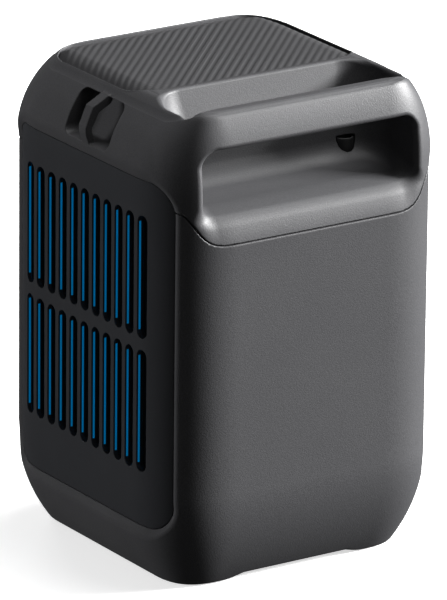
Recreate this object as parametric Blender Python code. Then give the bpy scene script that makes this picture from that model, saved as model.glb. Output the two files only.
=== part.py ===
"""A small portable power station, as an assembly of separate solids.

Metres, +Z up. The origin is the middle of the underside. The ports face -Y, the hand
window faces +Y, and the vented sides face +X (right) and -X (left).
"""

import math

import bmesh
import bpy
from mathutils import Matrix, Vector

for old in list(bpy.data.objects):
    bpy.data.objects.remove(old, do_unlink=True)

# Driving dimensions ---------------------------------------------------------------
body_width = 0.164
body_depth = 0.161
body_height = 0.240
wall = 0.003
gap = 0.0003

corner_reach = 0.041
corner_power = 2.66

crown_height = 0.042
crown_inset = 0.0201
crown_front_share = 0.823
crown_back_share = 0.428
crown_corner_front = 0.0263
crown_corner_back = 0.0141
rim_radius = 0.0117

skirt_height = 0.050
skirt_inset = 0.0172
skirt_depth_share = 0.863
skirt_corner = 0.0227

seam_height = 0.206
tongue_drop = 0.030
tongue_half = 0.047
tongue_flare = 0.072

panel_recess = 0.0026
panel_thickness = 0.0020
panel_half = 0.068
panel_bottom = 0.031
panel_corner = 0.014

slot_columns = 11
slot_pitch = 0.010
slot_width = 0.007
slot_length = 0.0616
slot_row_gap = 0.0057
slot_bottom = 0.0603
slot_skin = 0.0009
vent_margin = 0.0045
accent_thickness = 0.0011
vent_frame_thickness = 0.0018
filter_thickness = 0.0010
layer_gap = 0.0002

window_half = 0.0615
window_corner = 0.007
valley_front = 0.0295
crease_y = 0.041
crease_drop = 0.043
cavity_lip_drop = 0.0505
bar_inner = 0.0645
bar_tall = 0.017
cavity_wall = 0.0024

pad_half = 0.060
pad_front = -0.058
pad_back = 0.0265
pad_corner = 0.016
pad_pocket = 0.0018
pad_proud = 0.0004

strap_centre = 0.002
strap_pocket_width = 0.040
strap_pocket_top = 0.0068
strap_pocket_tall = 0.0215
strap_pocket_depth = 0.0095
strap_bar_width = 0.0066
strap_bar_thickness = 0.0040

plug_x = 0.045
plug_y = 0.0365
plug_radius = 0.0049
plug_height = 0.0076
plug_floor_drop = 0.0437
plug_bore = 0.0040

foot_channel_half = 0.0295
foot_channel_flare = 0.0085
foot_channel_depth = 0.0030
foot_x = 0.051
foot_width = 0.018
foot_length = 0.096
foot_thickness = 0.0016
foot_proud = 0.0004

front_half = 0.058
front_bottom = 0.046
front_tall = 0.142
front_corner = 0.012
front_setback = 0.0060
front_rim = 0.0016
front_rim_setback = 0.0012
front_thickness = 0.0030

board_thickness = 0.0016

cell_thick = 0.027
cell_wide = 0.068
cell_tall = 0.096
cell_gap = 0.0006
cell_rows = 4
cell_columns = 2
battery_centre_y = 0.003
battery_floor = 0.022
tray_wall = 0.0014
tray_tall = 0.030
clamp_tall = 0.008
shelf_thickness = 0.0024

fan_size = 0.060
fan_thickness = 0.015
fan_bore = 0.0275
fan_hub = 0.011
fan_blades = 7
fan_y = 0.004
fan_z = 0.158

button_radius = 0.0055
button_travel = 0.0008
button_proud = 0.0009
button_lip = 0.0008
button_lip_wide = 0.0011

light_size = (0.098, 0.009)
light_drop = 0.010
light_depth = 0.0034
light_to_display = 0.0275
display_x = -0.022
display_size = (0.058, 0.034)
display_border = 0.002
lens_thickness = 0.0016
module_thickness = 0.0040
car_x = 0.034
car_bore = 0.0105
car_wall = 0.0022
car_rim_radius = 0.016
car_rim_thickness = 0.0019
car_depth = 0.038
car_stub = 0.0017
display_to_buttons = 0.0235
button_xs = (-0.044, -0.029, -0.014, 0.001)
buttons_to_usb = 0.013
usb_c_xs = (-0.044, -0.026, -0.008)
usb_c_size = (0.0098, 0.0040)
usb_c_mouth = (0.0086, 0.0028)
usb_a_x = 0.012
usb_a_size = (0.0150, 0.0074)
usb_a_mouth = (0.0128, 0.0054)
usb_depth = 0.0120
usb_floor = 0.0020
usb_to_outlets = 0.0245
outlet_xs = (-0.037, 0.0, 0.037)
outlet_size = (0.031, 0.034)
outlet_depth = 0.0200
slot_depth = 0.0150
blade_half_pitch = 0.0064
outlets_to_inlets = 0.030
dc_x = -0.030
dc_size = (0.022, 0.012)
dc_rim = (0.0025, 0.0020)
dc_depth = 0.0150
dc_mouth_depth = 0.0110
cover_margin = 0.0015
cover_thickness = 0.0018
cover_plug_depth = 0.0013
ac_x = 0.024
ac_size = (0.026, 0.013)
ac_rim = 0.0020
ac_depth = 0.0180
ac_recess_depth = 0.0140
ac_pin_radius = 0.0012
ac_pin_setback = 0.0030
ac_pin_half_pitch = 0.0052
lid_thickness = 0.0020
hinge_lift = 0.0024
face_proud = 0.0004

barrel_radius = 0.0016
barrel_half = 0.0050
pin_radius = 0.0008
ear_thickness = 0.0020
ear_gap = 0.0003
join_depth = 0.0002

# Derived places -------------------------------------------------------------------
half_width = body_width / 2
half_depth = body_depth / 2
base_z = foot_proud
panel_top = seam_height
front_plane = -half_depth + front_setback
slot_top = slot_bottom + 2 * slot_length + slot_row_gap
vent_half = (slot_columns - 1) * slot_pitch / 2 + slot_width / 2 + vent_margin
vent_bottom = slot_bottom - vent_margin
vent_top = slot_top + vent_margin
battery_top = battery_floor + cell_tall
bar_underside = body_height - bar_tall
cavity_floor_z = body_height - cavity_lip_drop
pad_pocket_floor = body_height - pad_pocket
strap_top = body_height - strap_pocket_top
strap_bottom = strap_top - strap_pocket_tall
plug_floor = body_height - plug_floor_drop

parts = bpy.data.collections.new("power_station")
cutters = bpy.data.collections.new("cutters")
bpy.context.scene.collection.children.link(parts)
bpy.context.scene.collection.children.link(cutters)


# Materials ------------------------------------------------------------------------
def make_material(name, colour, roughness, metallic=0.0):
    material = bpy.data.materials.new(name)
    material.use_nodes = True
    shader = material.node_tree.nodes["Principled BSDF"]
    shader.inputs["Base Color"].default_value = (*colour, 1.0)
    shader.inputs["Roughness"].default_value = roughness
    shader.inputs["Metallic"].default_value = metallic
    return material


shell_plastic = make_material("shell_plastic", (0.075, 0.078, 0.083), 0.55)
panel_plastic = make_material("panel_plastic", (0.028, 0.029, 0.032), 0.60)
black_plastic = make_material("black_plastic", (0.010, 0.010, 0.011), 0.50)
blue_plastic = make_material("blue_plastic", (0.004, 0.130, 0.330), 0.45)
pad_rubber = make_material("pad_rubber", (0.050, 0.051, 0.053), 0.75)
foot_rubber = make_material("foot_rubber", (0.015, 0.015, 0.015), 0.85)
clear_lens = make_material("clear_lens", (0.030, 0.032, 0.036), 0.10)
light_lens_plastic = make_material("light_lens_plastic", (0.80, 0.80, 0.76), 0.35)
filter_foam = make_material("filter_foam", (0.020, 0.020, 0.020), 0.95)
board_green = make_material("board_green", (0.010, 0.090, 0.045), 0.50)
cell_blue = make_material("cell_blue", (0.020, 0.080, 0.260), 0.40)
tray_plastic = make_material("tray_plastic", (0.030, 0.030, 0.030), 0.60)
sink_metal = make_material("sink_metal", (0.55, 0.56, 0.57), 0.35, 1.0)
contact_metal = make_material("contact_metal", (0.62, 0.60, 0.56), 0.30, 1.0)
ferrite = make_material("ferrite", (0.040, 0.038, 0.036), 0.60)
can_metal = make_material("can_metal", (0.030, 0.032, 0.050), 0.35)
button_plastic = make_material("button_plastic", (0.055, 0.057, 0.060), 0.45)


# Modelling helpers ----------------------------------------------------------------
def new_object(name, mesh_data, material=None, cutter=False):
    made = bpy.data.objects.new(name, mesh_data)
    (cutters if cutter else parts).objects.link(made)
    if material:
        mesh_data.materials.append(material)
    if cutter:
        made.hide_render = True
        made.display_type = "WIRE"
    return made


def mesh_from(bm, name):
    bmesh.ops.recalc_face_normals(bm, faces=bm.faces)
    data = bpy.data.meshes.new(name)
    bm.to_mesh(data)
    bm.free()
    return data


def box_mesh(name, size, centre=(0, 0, 0), round_axis=None, radius=0.0, segments=3):
    """A box, with the four edges along round_axis rounded."""
    bm = bmesh.new()
    place = Matrix.Translation(Vector(centre)) @ Matrix.Diagonal((*size, 1.0))
    bmesh.ops.create_cube(bm, size=1.0, matrix=place)
    if radius:
        along = "XYZ".index(round_axis)
        edges = [e for e in bm.edges if abs((e.verts[0].co - e.verts[1].co)[along]) > 1e-6]
        bmesh.ops.bevel(bm, geom=edges, offset=radius, segments=segments, profile=0.5, affect="EDGES")
    return mesh_from(bm, name)


def prism_mesh(name, outline, axis, start, end):
    """A flat outline of (u, v) points swept along an axis: X takes (y, z), Y takes (x, z), Z takes (x, y)."""
    bm = bmesh.new()
    along = "XYZ".index(axis)
    others = [i for i in range(3) if i != along]
    ring = []
    for u, v in outline:
        point = [0.0, 0.0, 0.0]
        point[along] = start
        point[others[0]] = u
        point[others[1]] = v
        ring.append(bm.verts.new(point))
    face = bm.faces.new(ring)
    grown = bmesh.ops.extrude_face_region(bm, geom=[face])
    moved = [v for v in grown["geom"] if isinstance(v, bmesh.types.BMVert)]
    shift = Vector((0, 0, 0))
    shift[along] = end - start
    bmesh.ops.translate(bm, vec=shift, verts=moved)
    return mesh_from(bm, name)


def arc(centre, radius, first, last, steps):
    """Points on a circle from one angle to another, in degrees, ends included."""
    angles = [math.radians(first + (last - first) * i / steps) for i in range(steps + 1)]
    return [(centre[0] + radius * math.cos(a), centre[1] + radius * math.sin(a)) for a in angles]


def round_rect(half_u, low_v, high_v, radius, steps=3, centre_u=0.0):
    """A rounded rectangle outline, anticlockwise."""
    left, right = centre_u - half_u + radius, centre_u + half_u - radius
    low, high = low_v + radius, high_v - radius
    return (
        arc((right, low), radius, -90, 0, steps)
        + arc((right, high), radius, 0, 90, steps)
        + arc((left, high), radius, 90, 180, steps)
        + arc((left, low), radius, 180, 270, steps)
    )


def cylinder_mesh(name, radius, depth, centre, axis="Z", segments=24):
    bm = bmesh.new()
    turn = {"X": Matrix.Rotation(math.pi / 2, 4, "Y"), "Y": Matrix.Rotation(math.pi / 2, 4, "X"), "Z": Matrix()}
    place = Matrix.Translation(Vector(centre)) @ turn[axis]
    bmesh.ops.create_cone(
        bm, cap_ends=True, segments=segments, radius1=radius, radius2=radius, depth=depth, matrix=place
    )
    return mesh_from(bm, name)


def joined_mesh(name, meshes):
    """Several meshes that don't touch, as one mesh. It is used for cutters."""
    bm = bmesh.new()
    for data in meshes:
        bm.from_mesh(data)
        bpy.data.meshes.remove(data)
    return mesh_from(bm, name)


def boolean(target, tool_mesh, operation="DIFFERENCE"):
    """Adds a Boolean modifier with its own hidden tool object."""
    tool = new_object(target.name + "_tool", tool_mesh, cutter=True)
    modifier = target.modifiers.new(operation.lower(), "BOOLEAN")
    modifier.operation = operation
    modifier.object = tool
    return tool


def bake(made):
    """Replaces an object's mesh with its evaluated one and drops its tools."""
    bpy.context.view_layer.update()
    tools = [m.object for m in made.modifiers if m.type == "BOOLEAN"]
    evaluated = made.evaluated_get(bpy.context.evaluated_depsgraph_get())
    data = bpy.data.meshes.new_from_object(evaluated)
    made.modifiers.clear()
    made.data = data
    for tool in tools:
        bpy.data.objects.remove(tool, do_unlink=True)
    return made


def solid_mesh(name, first, steps):
    """Runs a list of (operation, mesh) on a first mesh, and gives back the finished mesh."""
    holder = new_object(name, first, cutter=True)
    for operation, tool in steps:
        boolean(holder, tool, operation)
    bake(holder)
    data = holder.data
    bpy.data.objects.remove(holder, do_unlink=True)
    return data


def smooth(made, angle=35):
    made.data.shade_smooth()
    made.data.set_sharp_from_angle(angle=math.radians(angle))
    return made


# The hull -------------------------------------------------------------------------
def crown_profile(lift):
    """How far the crown has drawn in at a height above its start: a big arc, then the rim's fillet."""
    big = (crown_height**2 + crown_inset**2) / (2 * crown_inset)
    rim_z = crown_height - rim_radius
    rim_in = big - math.sqrt((big - rim_radius) ** 2 - rim_z**2)
    meet = rim_z * big / (big - rim_radius)
    if lift <= 0:
        return 0.0
    if lift <= meet:
        return big - math.sqrt(big**2 - lift**2)
    up = min((lift - rim_z) / rim_radius, 1.0)
    return rim_in - rim_radius * math.sqrt(1 - up**2)


def skirt_profile(below):
    """How far the skirt has drawn in at a depth below the straight wall: one arc."""
    big = (skirt_height**2 + skirt_inset**2) / (2 * skirt_inset)
    return big - math.sqrt(big**2 - max(below, 0.0) ** 2)


def hull_section(z, inset):
    """One closed ring of the hull: rounded corners of a superellipse, unlike front and back at the crown."""
    if z > body_height / 2:
        x_in = crown_profile(z - (body_height - crown_height))
        front_in, back_in = x_in * crown_front_share, x_in * crown_back_share
        share = x_in / crown_inset
        front_reach = corner_reach + (crown_corner_front - corner_reach) * share
        back_reach = corner_reach + (crown_corner_back - corner_reach) * share
    else:
        x_in = skirt_profile(skirt_height - z)
        front_in = back_in = x_in * skirt_depth_share
        front_reach = back_reach = corner_reach + (skirt_corner - corner_reach) * x_in / skirt_inset
    ring = []
    quarter = 6
    for sign_x, sign_y in ((1, 1), (-1, 1), (-1, -1), (1, -1)):
        reach = max((back_reach if sign_y > 0 else front_reach) - inset, 0.002)
        wide = half_width - x_in - inset - reach
        deep = half_depth - (back_in if sign_y > 0 else front_in) - inset - reach
        turns = range(quarter + 1)
        if sign_x * sign_y < 0:
            turns = reversed(turns)
        for i in turns:
            angle = math.pi / 2 * i / quarter
            over = reach * abs(math.cos(angle)) ** (2 / corner_power)
            along = reach * abs(math.sin(angle)) ** (2 / corner_power)
            ring.append((sign_x * (wide + over), sign_y * (deep + along), z))
    return ring


def hull_mesh(name, inset=0.0, floor=None, ceiling=None):
    """The loft through the hull's rings, drawn in by an inset and closed by flat ends."""
    floor = base_z if floor is None else floor
    ceiling = body_height if ceiling is None else ceiling
    crown_start = body_height - crown_height
    levels = [skirt_height * s for s in (0.0, 0.08, 0.2, 0.36, 0.54, 0.74, 1.0)]
    levels += [crown_start + crown_height * s for s in (0.0, 0.22, 0.4, 0.55, 0.68, 0.78, 0.86, 0.92, 0.965, 0.99, 1.0)]
    inside = [z for z in levels if floor + 0.0004 < z < ceiling - 0.0004]
    bm = bmesh.new()
    rings = []
    for z in [floor, *inside, ceiling]:
        rings.append([bm.verts.new(p) for p in hull_section(z, inset)])
    count = len(rings[0])
    for lower, upper in zip(rings, rings[1:]):
        for i in range(count):
            j = (i + 1) % count
            bm.faces.new((lower[i], lower[j], upper[j], upper[i]))
    bm.faces.new(rings[0])
    bm.faces.new(rings[-1])
    return mesh_from(bm, name)


# Zones shared by neighbouring pieces ----------------------------------------------
def cap_zone_mesh(name, lower=0.0):
    """Everything above the parting seam: a lid over the sides and a tongue down the back."""
    reach = body_depth
    seam = seam_height - lower
    bend = panel_half - panel_corner
    turn = panel_corner + gap
    drop = seam - turn
    side = [(-reach, drop), *arc((-bend, drop), turn, 180, 90, 4), *arc((bend, drop), turn, 90, 0, 4)]
    side += [(reach, drop), (reach, body_height * 1.2), (-reach, body_height * 1.2)]
    lid = prism_mesh(name, side, "X", -body_width, body_width)
    low = seam_height - tongue_drop - lower
    slope = tongue_half + 0.36 * (tongue_flare - tongue_half)
    corner = low + 0.10 * tongue_drop
    tongue = [(-tongue_half, low), (tongue_half, low), (slope, corner), (tongue_flare, drop + 0.0005)]
    tongue += [(tongue_flare, seam + 0.010), (-tongue_flare, seam + 0.010), (-tongue_flare, drop + 0.0005)]
    tongue += [(-slope, corner)]
    tongue_block = prism_mesh(name + "_tongue", tongue, "Y", panel_half + gap, reach)
    tub_half = window_half + 2 * cavity_wall
    tub_low = cavity_floor_z - 2 * cavity_wall - lower
    tub_size = (2 * tub_half, reach, body_height)
    tub = box_mesh(name + "_tub", tub_size, (0, valley_front - cavity_wall * 2 + reach / 2, tub_low + body_height / 2))
    return solid_mesh(name, lid, [("UNION", tongue_block), ("UNION", tub)])


def panel_outline(grow=0.0):
    return round_rect(
        panel_half + grow, panel_bottom - grow, panel_top - gap + grow, panel_corner, steps=4
    )


def side_prism(name, outline, side, inner=0.055, outer=0.100):
    return prism_mesh(name, outline, "X", side * inner, side * outer)


def slot_cutters(name, side, widen=0.0):
    """The vent's slots: two rows of upright rounded slots."""
    made = []
    radius = slot_width / 2 + widen
    for row in range(2):
        low = slot_bottom + row * (slot_length + slot_row_gap)
        for column in range(slot_columns):
            y = (column - (slot_columns - 1) / 2) * slot_pitch
            outline = arc((y, low + slot_width / 2), radius, 180, 360, 3)
            outline += arc((y, low + slot_length - slot_width / 2), radius, 0, 180, 3)
            made.append(side_prism(f"{name}_{row}_{column}", outline, side))
    return joined_mesh(name, made)


def cavity_outline(grow=0.0):
    """The hand space seen from the side, in (y, z): a steep wall, a floor, and the bar's two faces."""
    high = body_height + 0.004
    crease_z = body_height - crease_drop
    return [
        (valley_front - 0.001 - grow, high),
        (crease_y - 0.004 - grow, crease_z + 0.009),
        (crease_y + 0.007 - 0.4 * grow, crease_z - 0.0015 - grow),
        (half_depth - 0.010, cavity_floor_z - grow),
        (half_depth + 0.006, cavity_floor_z - 0.001 - grow),
        (half_depth + 0.006, bar_underside),
        (bar_inner, bar_underside),
        (bar_inner, high),
    ]


def cavity_mesh(name, grow=0.0):
    """The hand space: open at the top in front of the bar, and at the back under it."""
    data = prism_mesh(name, cavity_outline(grow), "X", -window_half - grow, window_half + grow)
    bm = bmesh.new()
    bm.from_mesh(data)
    bpy.data.meshes.remove(data)
    ends = [e for e in bm.edges if abs(e.verts[0].co.x - e.verts[1].co.x) < 1e-7]
    bmesh.ops.bevel(bm, geom=ends, offset=window_corner, segments=3, profile=0.5, affect="EDGES", clamp_overlap=True)
    return mesh_from(bm, name)


def hull_x(z):
    return half_width - crown_profile(z - (body_height - crown_height))


def strap_pocket_mesh(name, side, grow=0.0):
    top, bottom = strap_top + grow, strap_bottom - grow
    deep = strap_pocket_depth + grow
    outline = [
        (side * (hull_x(strap_top) - deep), top),
        (side * half_width * 1.2, top),
        (side * half_width * 1.2, bottom),
        (side * (hull_x(strap_bottom) - deep), bottom),
    ]
    half = strap_pocket_width / 2 + grow
    data = prism_mesh(name, outline, "Y", strap_centre - half, strap_centre + half)
    bm = bmesh.new()
    bm.from_mesh(data)
    bpy.data.meshes.remove(data)
    ends = [e for e in bm.edges if abs(e.verts[0].co.z - e.verts[1].co.z) < 1e-7]
    ends = [e for e in ends if abs(e.verts[0].co.y - e.verts[1].co.y) < 1e-7]
    bmesh.ops.bevel(bm, geom=ends, offset=0.004, segments=2, profile=0.5, affect="EDGES")
    return mesh_from(bm, name)


def strap_bar_mesh(name, side):
    """The bent bar across a strap pocket, as wide as the body at its outermost face."""
    thick = strap_bar_thickness
    top_x, bottom_x = hull_x(strap_top), hull_x(strap_bottom)
    face = [
        (top_x - 0.0012, strap_top + 0.0012),
        (top_x + 0.0020, strap_top - 0.0007),
        (half_width - 0.0042, strap_top - 0.0036),
        (half_width, strap_top - 0.0130),
        (half_width, strap_top - 0.0162),
        (bottom_x - 0.0003, strap_bottom),
        (bottom_x - 0.0012, strap_bottom - 0.0016),
    ]
    back = [
        (bottom_x - thick, strap_bottom - 0.0016),
        (half_width - thick, strap_top - 0.0160),
        (half_width - thick, strap_top - 0.0136),
        (half_width - 0.0078, strap_top - 0.0066),
        (top_x - 0.0030, strap_top - 0.0032),
        (top_x - 0.0046, strap_top + 0.0012),
    ]
    outline = [(side * x, z) for x, z in face + back]
    half = strap_bar_width / 2
    return prism_mesh(name, outline, "Y", strap_centre - half, strap_centre + half)


# Outer pieces ---------------------------------------------------------------------
def make_top_cap():
    void = solid_mesh(
        "cap_void",
        hull_mesh("cap_void", inset=wall, floor=0.150, ceiling=pad_pocket_floor - cavity_wall),
        [("DIFFERENCE", cavity_mesh("cavity_wall", cavity_wall))]
        + [("DIFFERENCE", strap_pocket_mesh("strap_wall", side, cavity_wall)) for side in (1, -1)]
        + [("DIFFERENCE", bar_block_mesh("bar_block"))]
        + [("DIFFERENCE", plug_boss_mesh("plug_boss", side)) for side in (1, -1)],
    )
    cap = new_object("top_cap", hull_mesh("top_cap"), shell_plastic)
    boolean(cap, cap_zone_mesh("cap_zone"), "INTERSECT")
    boolean(cap, void)
    boolean(cap, cavity_mesh("hand_space"))
    pad_outline = round_rect(pad_half, pad_front, pad_back, pad_corner, steps=4)
    boolean(cap, prism_mesh("pad_pocket", pad_outline, "Z", pad_pocket_floor, body_height + 0.01))
    for side in (1, -1):
        boolean(cap, strap_pocket_mesh("strap_pocket", side))
        boolean(cap, strap_bar_mesh("strap_bar", side), "UNION")
        hole = cylinder_mesh(
            "plug_hole", plug_radius + gap, 0.060, (side * plug_x, plug_y, plug_floor + 0.030), segments=20
        )
        boolean(cap, hole)
    return smooth(bake(cap))


def bar_block_mesh(name):
    """Keeps the bar solid, and the crown's back above the window."""
    outline = [(bar_inner - wall, bar_underside), (half_depth * 1.1, bar_underside)]
    outline += [(half_depth * 1.1, body_height * 1.1), (bar_inner - wall, body_height * 1.1)]
    return prism_mesh(name, outline, "X", -body_width, body_width)


def plug_boss_mesh(name, side):
    """Keeps a boss of solid plastic round a plug's pocket."""
    tall = 0.050
    centre = (side * plug_x, plug_y, plug_floor - cavity_wall + tall / 2)
    return cylinder_mesh(name, plug_radius + cavity_wall, tall, centre, segments=16)


def make_top_pad():
    clear = pad_half - gap
    outline = round_rect(clear, pad_front + gap, pad_back - gap, pad_corner - gap, steps=4)
    low, high = pad_pocket_floor + gap, body_height - pad_proud
    pad = new_object("top_pad", prism_mesh("top_pad", outline, "Z", low, high), pad_rubber)
    return smooth(pad)


def make_main_shell():
    shell = new_object("main_shell", hull_mesh("main_shell"), shell_plastic)
    boolean(shell, cap_zone_mesh("below_cap", gap), "DIFFERENCE")
    boolean(shell, hull_mesh("shell_void", inset=wall, floor=base_z + wall + foot_channel_depth, ceiling=0.230))
    for side in (1, -1):
        boolean(shell, side_prism("panel_hole", panel_outline(gap), side))
    front = round_rect(front_half + gap, front_bottom - gap, front_bottom + front_tall + gap, front_corner, steps=4)
    boolean(shell, prism_mesh("front_hole", front, "Y", -half_depth * 1.2, -half_depth + 0.020))
    flare = foot_channel_half + foot_channel_flare
    channel = [(-flare, -0.001), (flare, -0.001), (flare, base_z)]
    channel += [(foot_channel_half, foot_channel_depth), (-foot_channel_half, foot_channel_depth), (-flare, base_z)]
    boolean(shell, prism_mesh("foot_channel", channel, "Y", -half_depth * 1.1, half_depth * 1.1))
    for side in (1, -1):
        seat = (foot_width + 2 * gap, foot_length + 2 * gap, 2 * (foot_thickness + gap))
        boolean(shell, box_mesh("foot_seat", seat, (side * foot_x, 0, 0), "Z", 0.004))
    return smooth(bake(shell))


def make_foot(side, name):
    size = (foot_width, foot_length, foot_thickness)
    return new_object(name, box_mesh(name, size, (side * foot_x, 0, foot_thickness / 2), "Z", 0.004), foot_rubber)


def layer(name, side, outline, outer, inner, material, slots=True, rebate=None):
    """A curved sheet that follows the hull between two insets, cut to an outline."""
    sheet = new_object(name, hull_mesh(name, outer, 0.010, 0.230), material)
    boolean(sheet, side_prism(name + "_cut", outline, side), "INTERSECT")
    boolean(sheet, hull_mesh(name + "_core", inner, 0.006, 0.234))
    if rebate:
        pocket = solid_mesh(
            name + "_rebate",
            hull_mesh(name + "_rebate", outer + slot_skin, 0.008, 0.232),
            [("INTERSECT", side_prism(name + "_vent", rebate, side))],
        )
        boolean(sheet, pocket)
    if slots:
        boolean(sheet, slot_cutters(name + "_slots", side))
    return smooth(bake(sheet))


def vent_outline(margin):
    return round_rect(vent_half - margin, vent_bottom + margin, vent_top - margin, 0.005, steps=2)


def make_side(side, word):
    skin = panel_recess
    accent = skin + slot_skin + layer_gap
    frame = accent + accent_thickness + layer_gap
    foam = frame + vent_frame_thickness + layer_gap
    layer(
        "side_panel_" + word, side, panel_outline(), skin, skin + panel_thickness, panel_plastic,
        rebate=vent_outline(0.0),
    )
    layer("accent_sheet_" + word, side, vent_outline(gap), accent, accent + accent_thickness, blue_plastic)
    layer("vent_frame_" + word, side, vent_outline(gap), frame, frame + vent_frame_thickness, black_plastic)
    layer("air_filter_" + word, side, vent_outline(0.003), foam, foam + filter_thickness, filter_foam, slots=False)


def make_plug(side, name):
    """A black cup that closes a screw's pocket in the hand space."""
    centre = (side * plug_x, plug_y, plug_floor + gap + plug_height / 2)
    plug = new_object(name, cylinder_mesh(name, plug_radius, plug_height, centre, segments=20), black_plastic)
    bore = (side * plug_x, plug_y, plug_floor + gap + plug_height)
    boolean(plug, cylinder_mesh("plug_bore", plug_bore, plug_height, bore, segments=20))
    return smooth(bake(plug))


# The front ------------------------------------------------------------------------
light_z = front_bottom + front_tall - light_drop
display_z = light_z - light_to_display
car_z = display_z
car_outer = car_bore + car_wall
button_z = display_z - display_to_buttons
usb_z = button_z - buttons_to_usb
outlet_z = usb_z - usb_to_outlets
inlet_z = outlet_z - outlets_to_inlets


def front_hole(name, x, z, size, radius=0.0, segments=3):
    """A straight hole through the front panel, wider than its piece by the gap on every side."""
    wide = (size[0] + 2 * gap, 4 * front_thickness, size[1] + 2 * gap)
    return box_mesh(name, wide, (x, front_plane, z), "Y", radius, segments)


def front_holes():
    """Every opening in the front panel, each as wide as its piece and the gap."""
    long = 4 * front_thickness
    holes = [front_hole("light_hole", 0, light_z, light_size, 0.003)]
    holes.append(front_hole("display_hole", display_x, display_z, display_size, 0.003))
    holes.append(cylinder_mesh("car_hole", car_outer + gap, long, (car_x, front_plane, car_z), "Y"))
    for x in button_xs:
        holes.append(cylinder_mesh("button_hole", button_radius + gap, long, (x, front_plane, button_z), "Y", 20))
    for x in usb_c_xs:
        holes.append(front_hole("usb_c_hole", x, usb_z, usb_c_size, usb_c_size[1] * 0.4, 2))
    holes.append(front_hole("usb_a_hole", usb_a_x, usb_z, usb_a_size))
    for x in outlet_xs:
        holes.append(front_hole("outlet_hole", x, outlet_z, outlet_size, 0.005))
    holes.append(front_hole("dc_hole", dc_x, inlet_z, dc_size))
    holes.append(front_hole("ac_hole", ac_x, inlet_z, ac_size))
    return holes


def make_front_panel():
    top = front_bottom + front_tall
    outline = round_rect(front_half, front_bottom, top, front_corner, steps=4)
    rim_face = -half_depth + front_rim_setback
    panel = new_object(
        "front_panel", prism_mesh("front_panel", outline, "Y", rim_face, front_plane + front_thickness), panel_plastic
    )
    inner = round_rect(
        front_half - front_rim, front_bottom + front_rim, top - front_rim, front_corner - front_rim, steps=4
    )
    boolean(panel, prism_mesh("front_dish", inner, "Y", rim_face - 0.01, front_plane))
    boolean(panel, joined_mesh("front_holes", front_holes()))
    return panel


def front_block(name, size, x, z, deep, material, proud=0.0, radius=0.0):
    """A piece in a hole of the front panel, its face a given amount proud of the panel."""
    y = front_plane - proud
    centre = (x, y + deep / 2, z)
    return new_object(name, box_mesh(name, (size[0], deep, size[1]), centre, "Y", radius), material)


def make_display():
    proud = face_proud / 2
    front_block("display_lens", display_size, display_x, display_z, lens_thickness, clear_lens, proud, 0.003)
    size = (display_size[0] - 2 * display_border, module_thickness, display_size[1] - 2 * display_border)
    module_y = front_plane - proud + lens_thickness + gap + module_thickness / 2
    new_object("display_module", box_mesh("display_module", size, (display_x, module_y, display_z)), board_green)


def make_light():
    front_block("light_lens", light_size, 0, light_z, light_depth, light_lens_plastic, face_proud, 0.003)
    back = front_plane - face_proud + light_depth + 2 * gap
    size = (light_size[0], board_thickness, light_size[1])
    new_object("light_board", box_mesh("light_board", size, (0, back + board_thickness / 2, light_z)), board_green)


def make_buttons():
    """Four round push buttons, each with its shoulder behind the panel."""
    words = ("power_button", "ac_button", "dc_button", "light_button")
    for name, x in zip(words, button_xs):
        long = button_proud + front_thickness + gap + button_travel + button_lip / 2
        face = front_plane - button_proud
        home = Vector((x, face + long / 2, button_z))
        data = cylinder_mesh(name, button_radius, long, (0, 0, 0), "Y", 20)
        button = new_object(name, data, button_plastic)
        button.location = home
        shoulder = (x, face + long + button_lip / 2 - join_depth, button_z)
        lip = cylinder_mesh(name + "_lip", button_radius + button_lip_wide, button_lip, shoulder, "Y", 20)
        boolean(button, lip, "UNION")
        smooth(bake(button))


def moved_mesh(data, offset):
    data.transform(Matrix.Translation(offset))
    return data


def add_hinge(lid, post, x, y, z):
    """A barrel and pin for the lid, and two bored ears for the piece that carries it."""
    boolean(lid, cylinder_mesh("barrel", barrel_radius, 2 * barrel_half, (x, y, z), "X", 12), "UNION")
    pin_half = barrel_half + ear_gap + ear_thickness - gap
    boolean(lid, cylinder_mesh("pin", pin_radius, 2 * pin_half, (x, y, z), "X", 10), "UNION")
    for side in (1, -1):
        ear_x = x + side * (barrel_half + ear_gap + ear_thickness / 2)
        ear_deep = front_plane - y + barrel_radius
        size = (ear_thickness, ear_deep, 2 * barrel_radius)
        boolean(post, box_mesh("ear", size, (ear_x, front_plane + join_depth - ear_deep / 2, z)), "UNION")
    reach = 2 * (barrel_half + ear_gap + 2 * ear_thickness)
    boolean(post, cylinder_mesh("ear_bore", pin_radius + gap, reach, (x, y, z), "X", 10))


def add_strap(lid, x, y, high, low, thick):
    """The web that joins a lid to its hinge barrel."""
    web = (2 * barrel_half - ear_thickness / 2, thick, high - low)
    boolean(lid, box_mesh("web", web, (x, y, (high + low) / 2)), "UNION")


def make_usb():
    """Three small sockets and a wide one, each a metal shell with a closed back."""
    names = ("usb_c_socket_1", "usb_c_socket_2", "usb_c_socket_3", "usb_a_socket")
    places = (*usb_c_xs, usb_a_x)
    for name, x in zip(names, places):
        wide = name.startswith("usb_a")
        size, mouth = (usb_a_size, usb_a_mouth) if wide else (usb_c_size, usb_c_mouth)
        radius = 0.0 if wide else size[1] * 0.4
        socket = front_block(name, size, x, usb_z, usb_depth, contact_metal, 0.0, radius)
        depth = 2 * (usb_depth - usb_floor)
        centre = (x, front_plane, usb_z)
        size = (mouth[0], depth, mouth[1])
        boolean(socket, box_mesh(name + "_mouth", size, centre, "Y", 0.0 if wide else mouth[1] * 0.4, 2))
        bake(socket)


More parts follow.
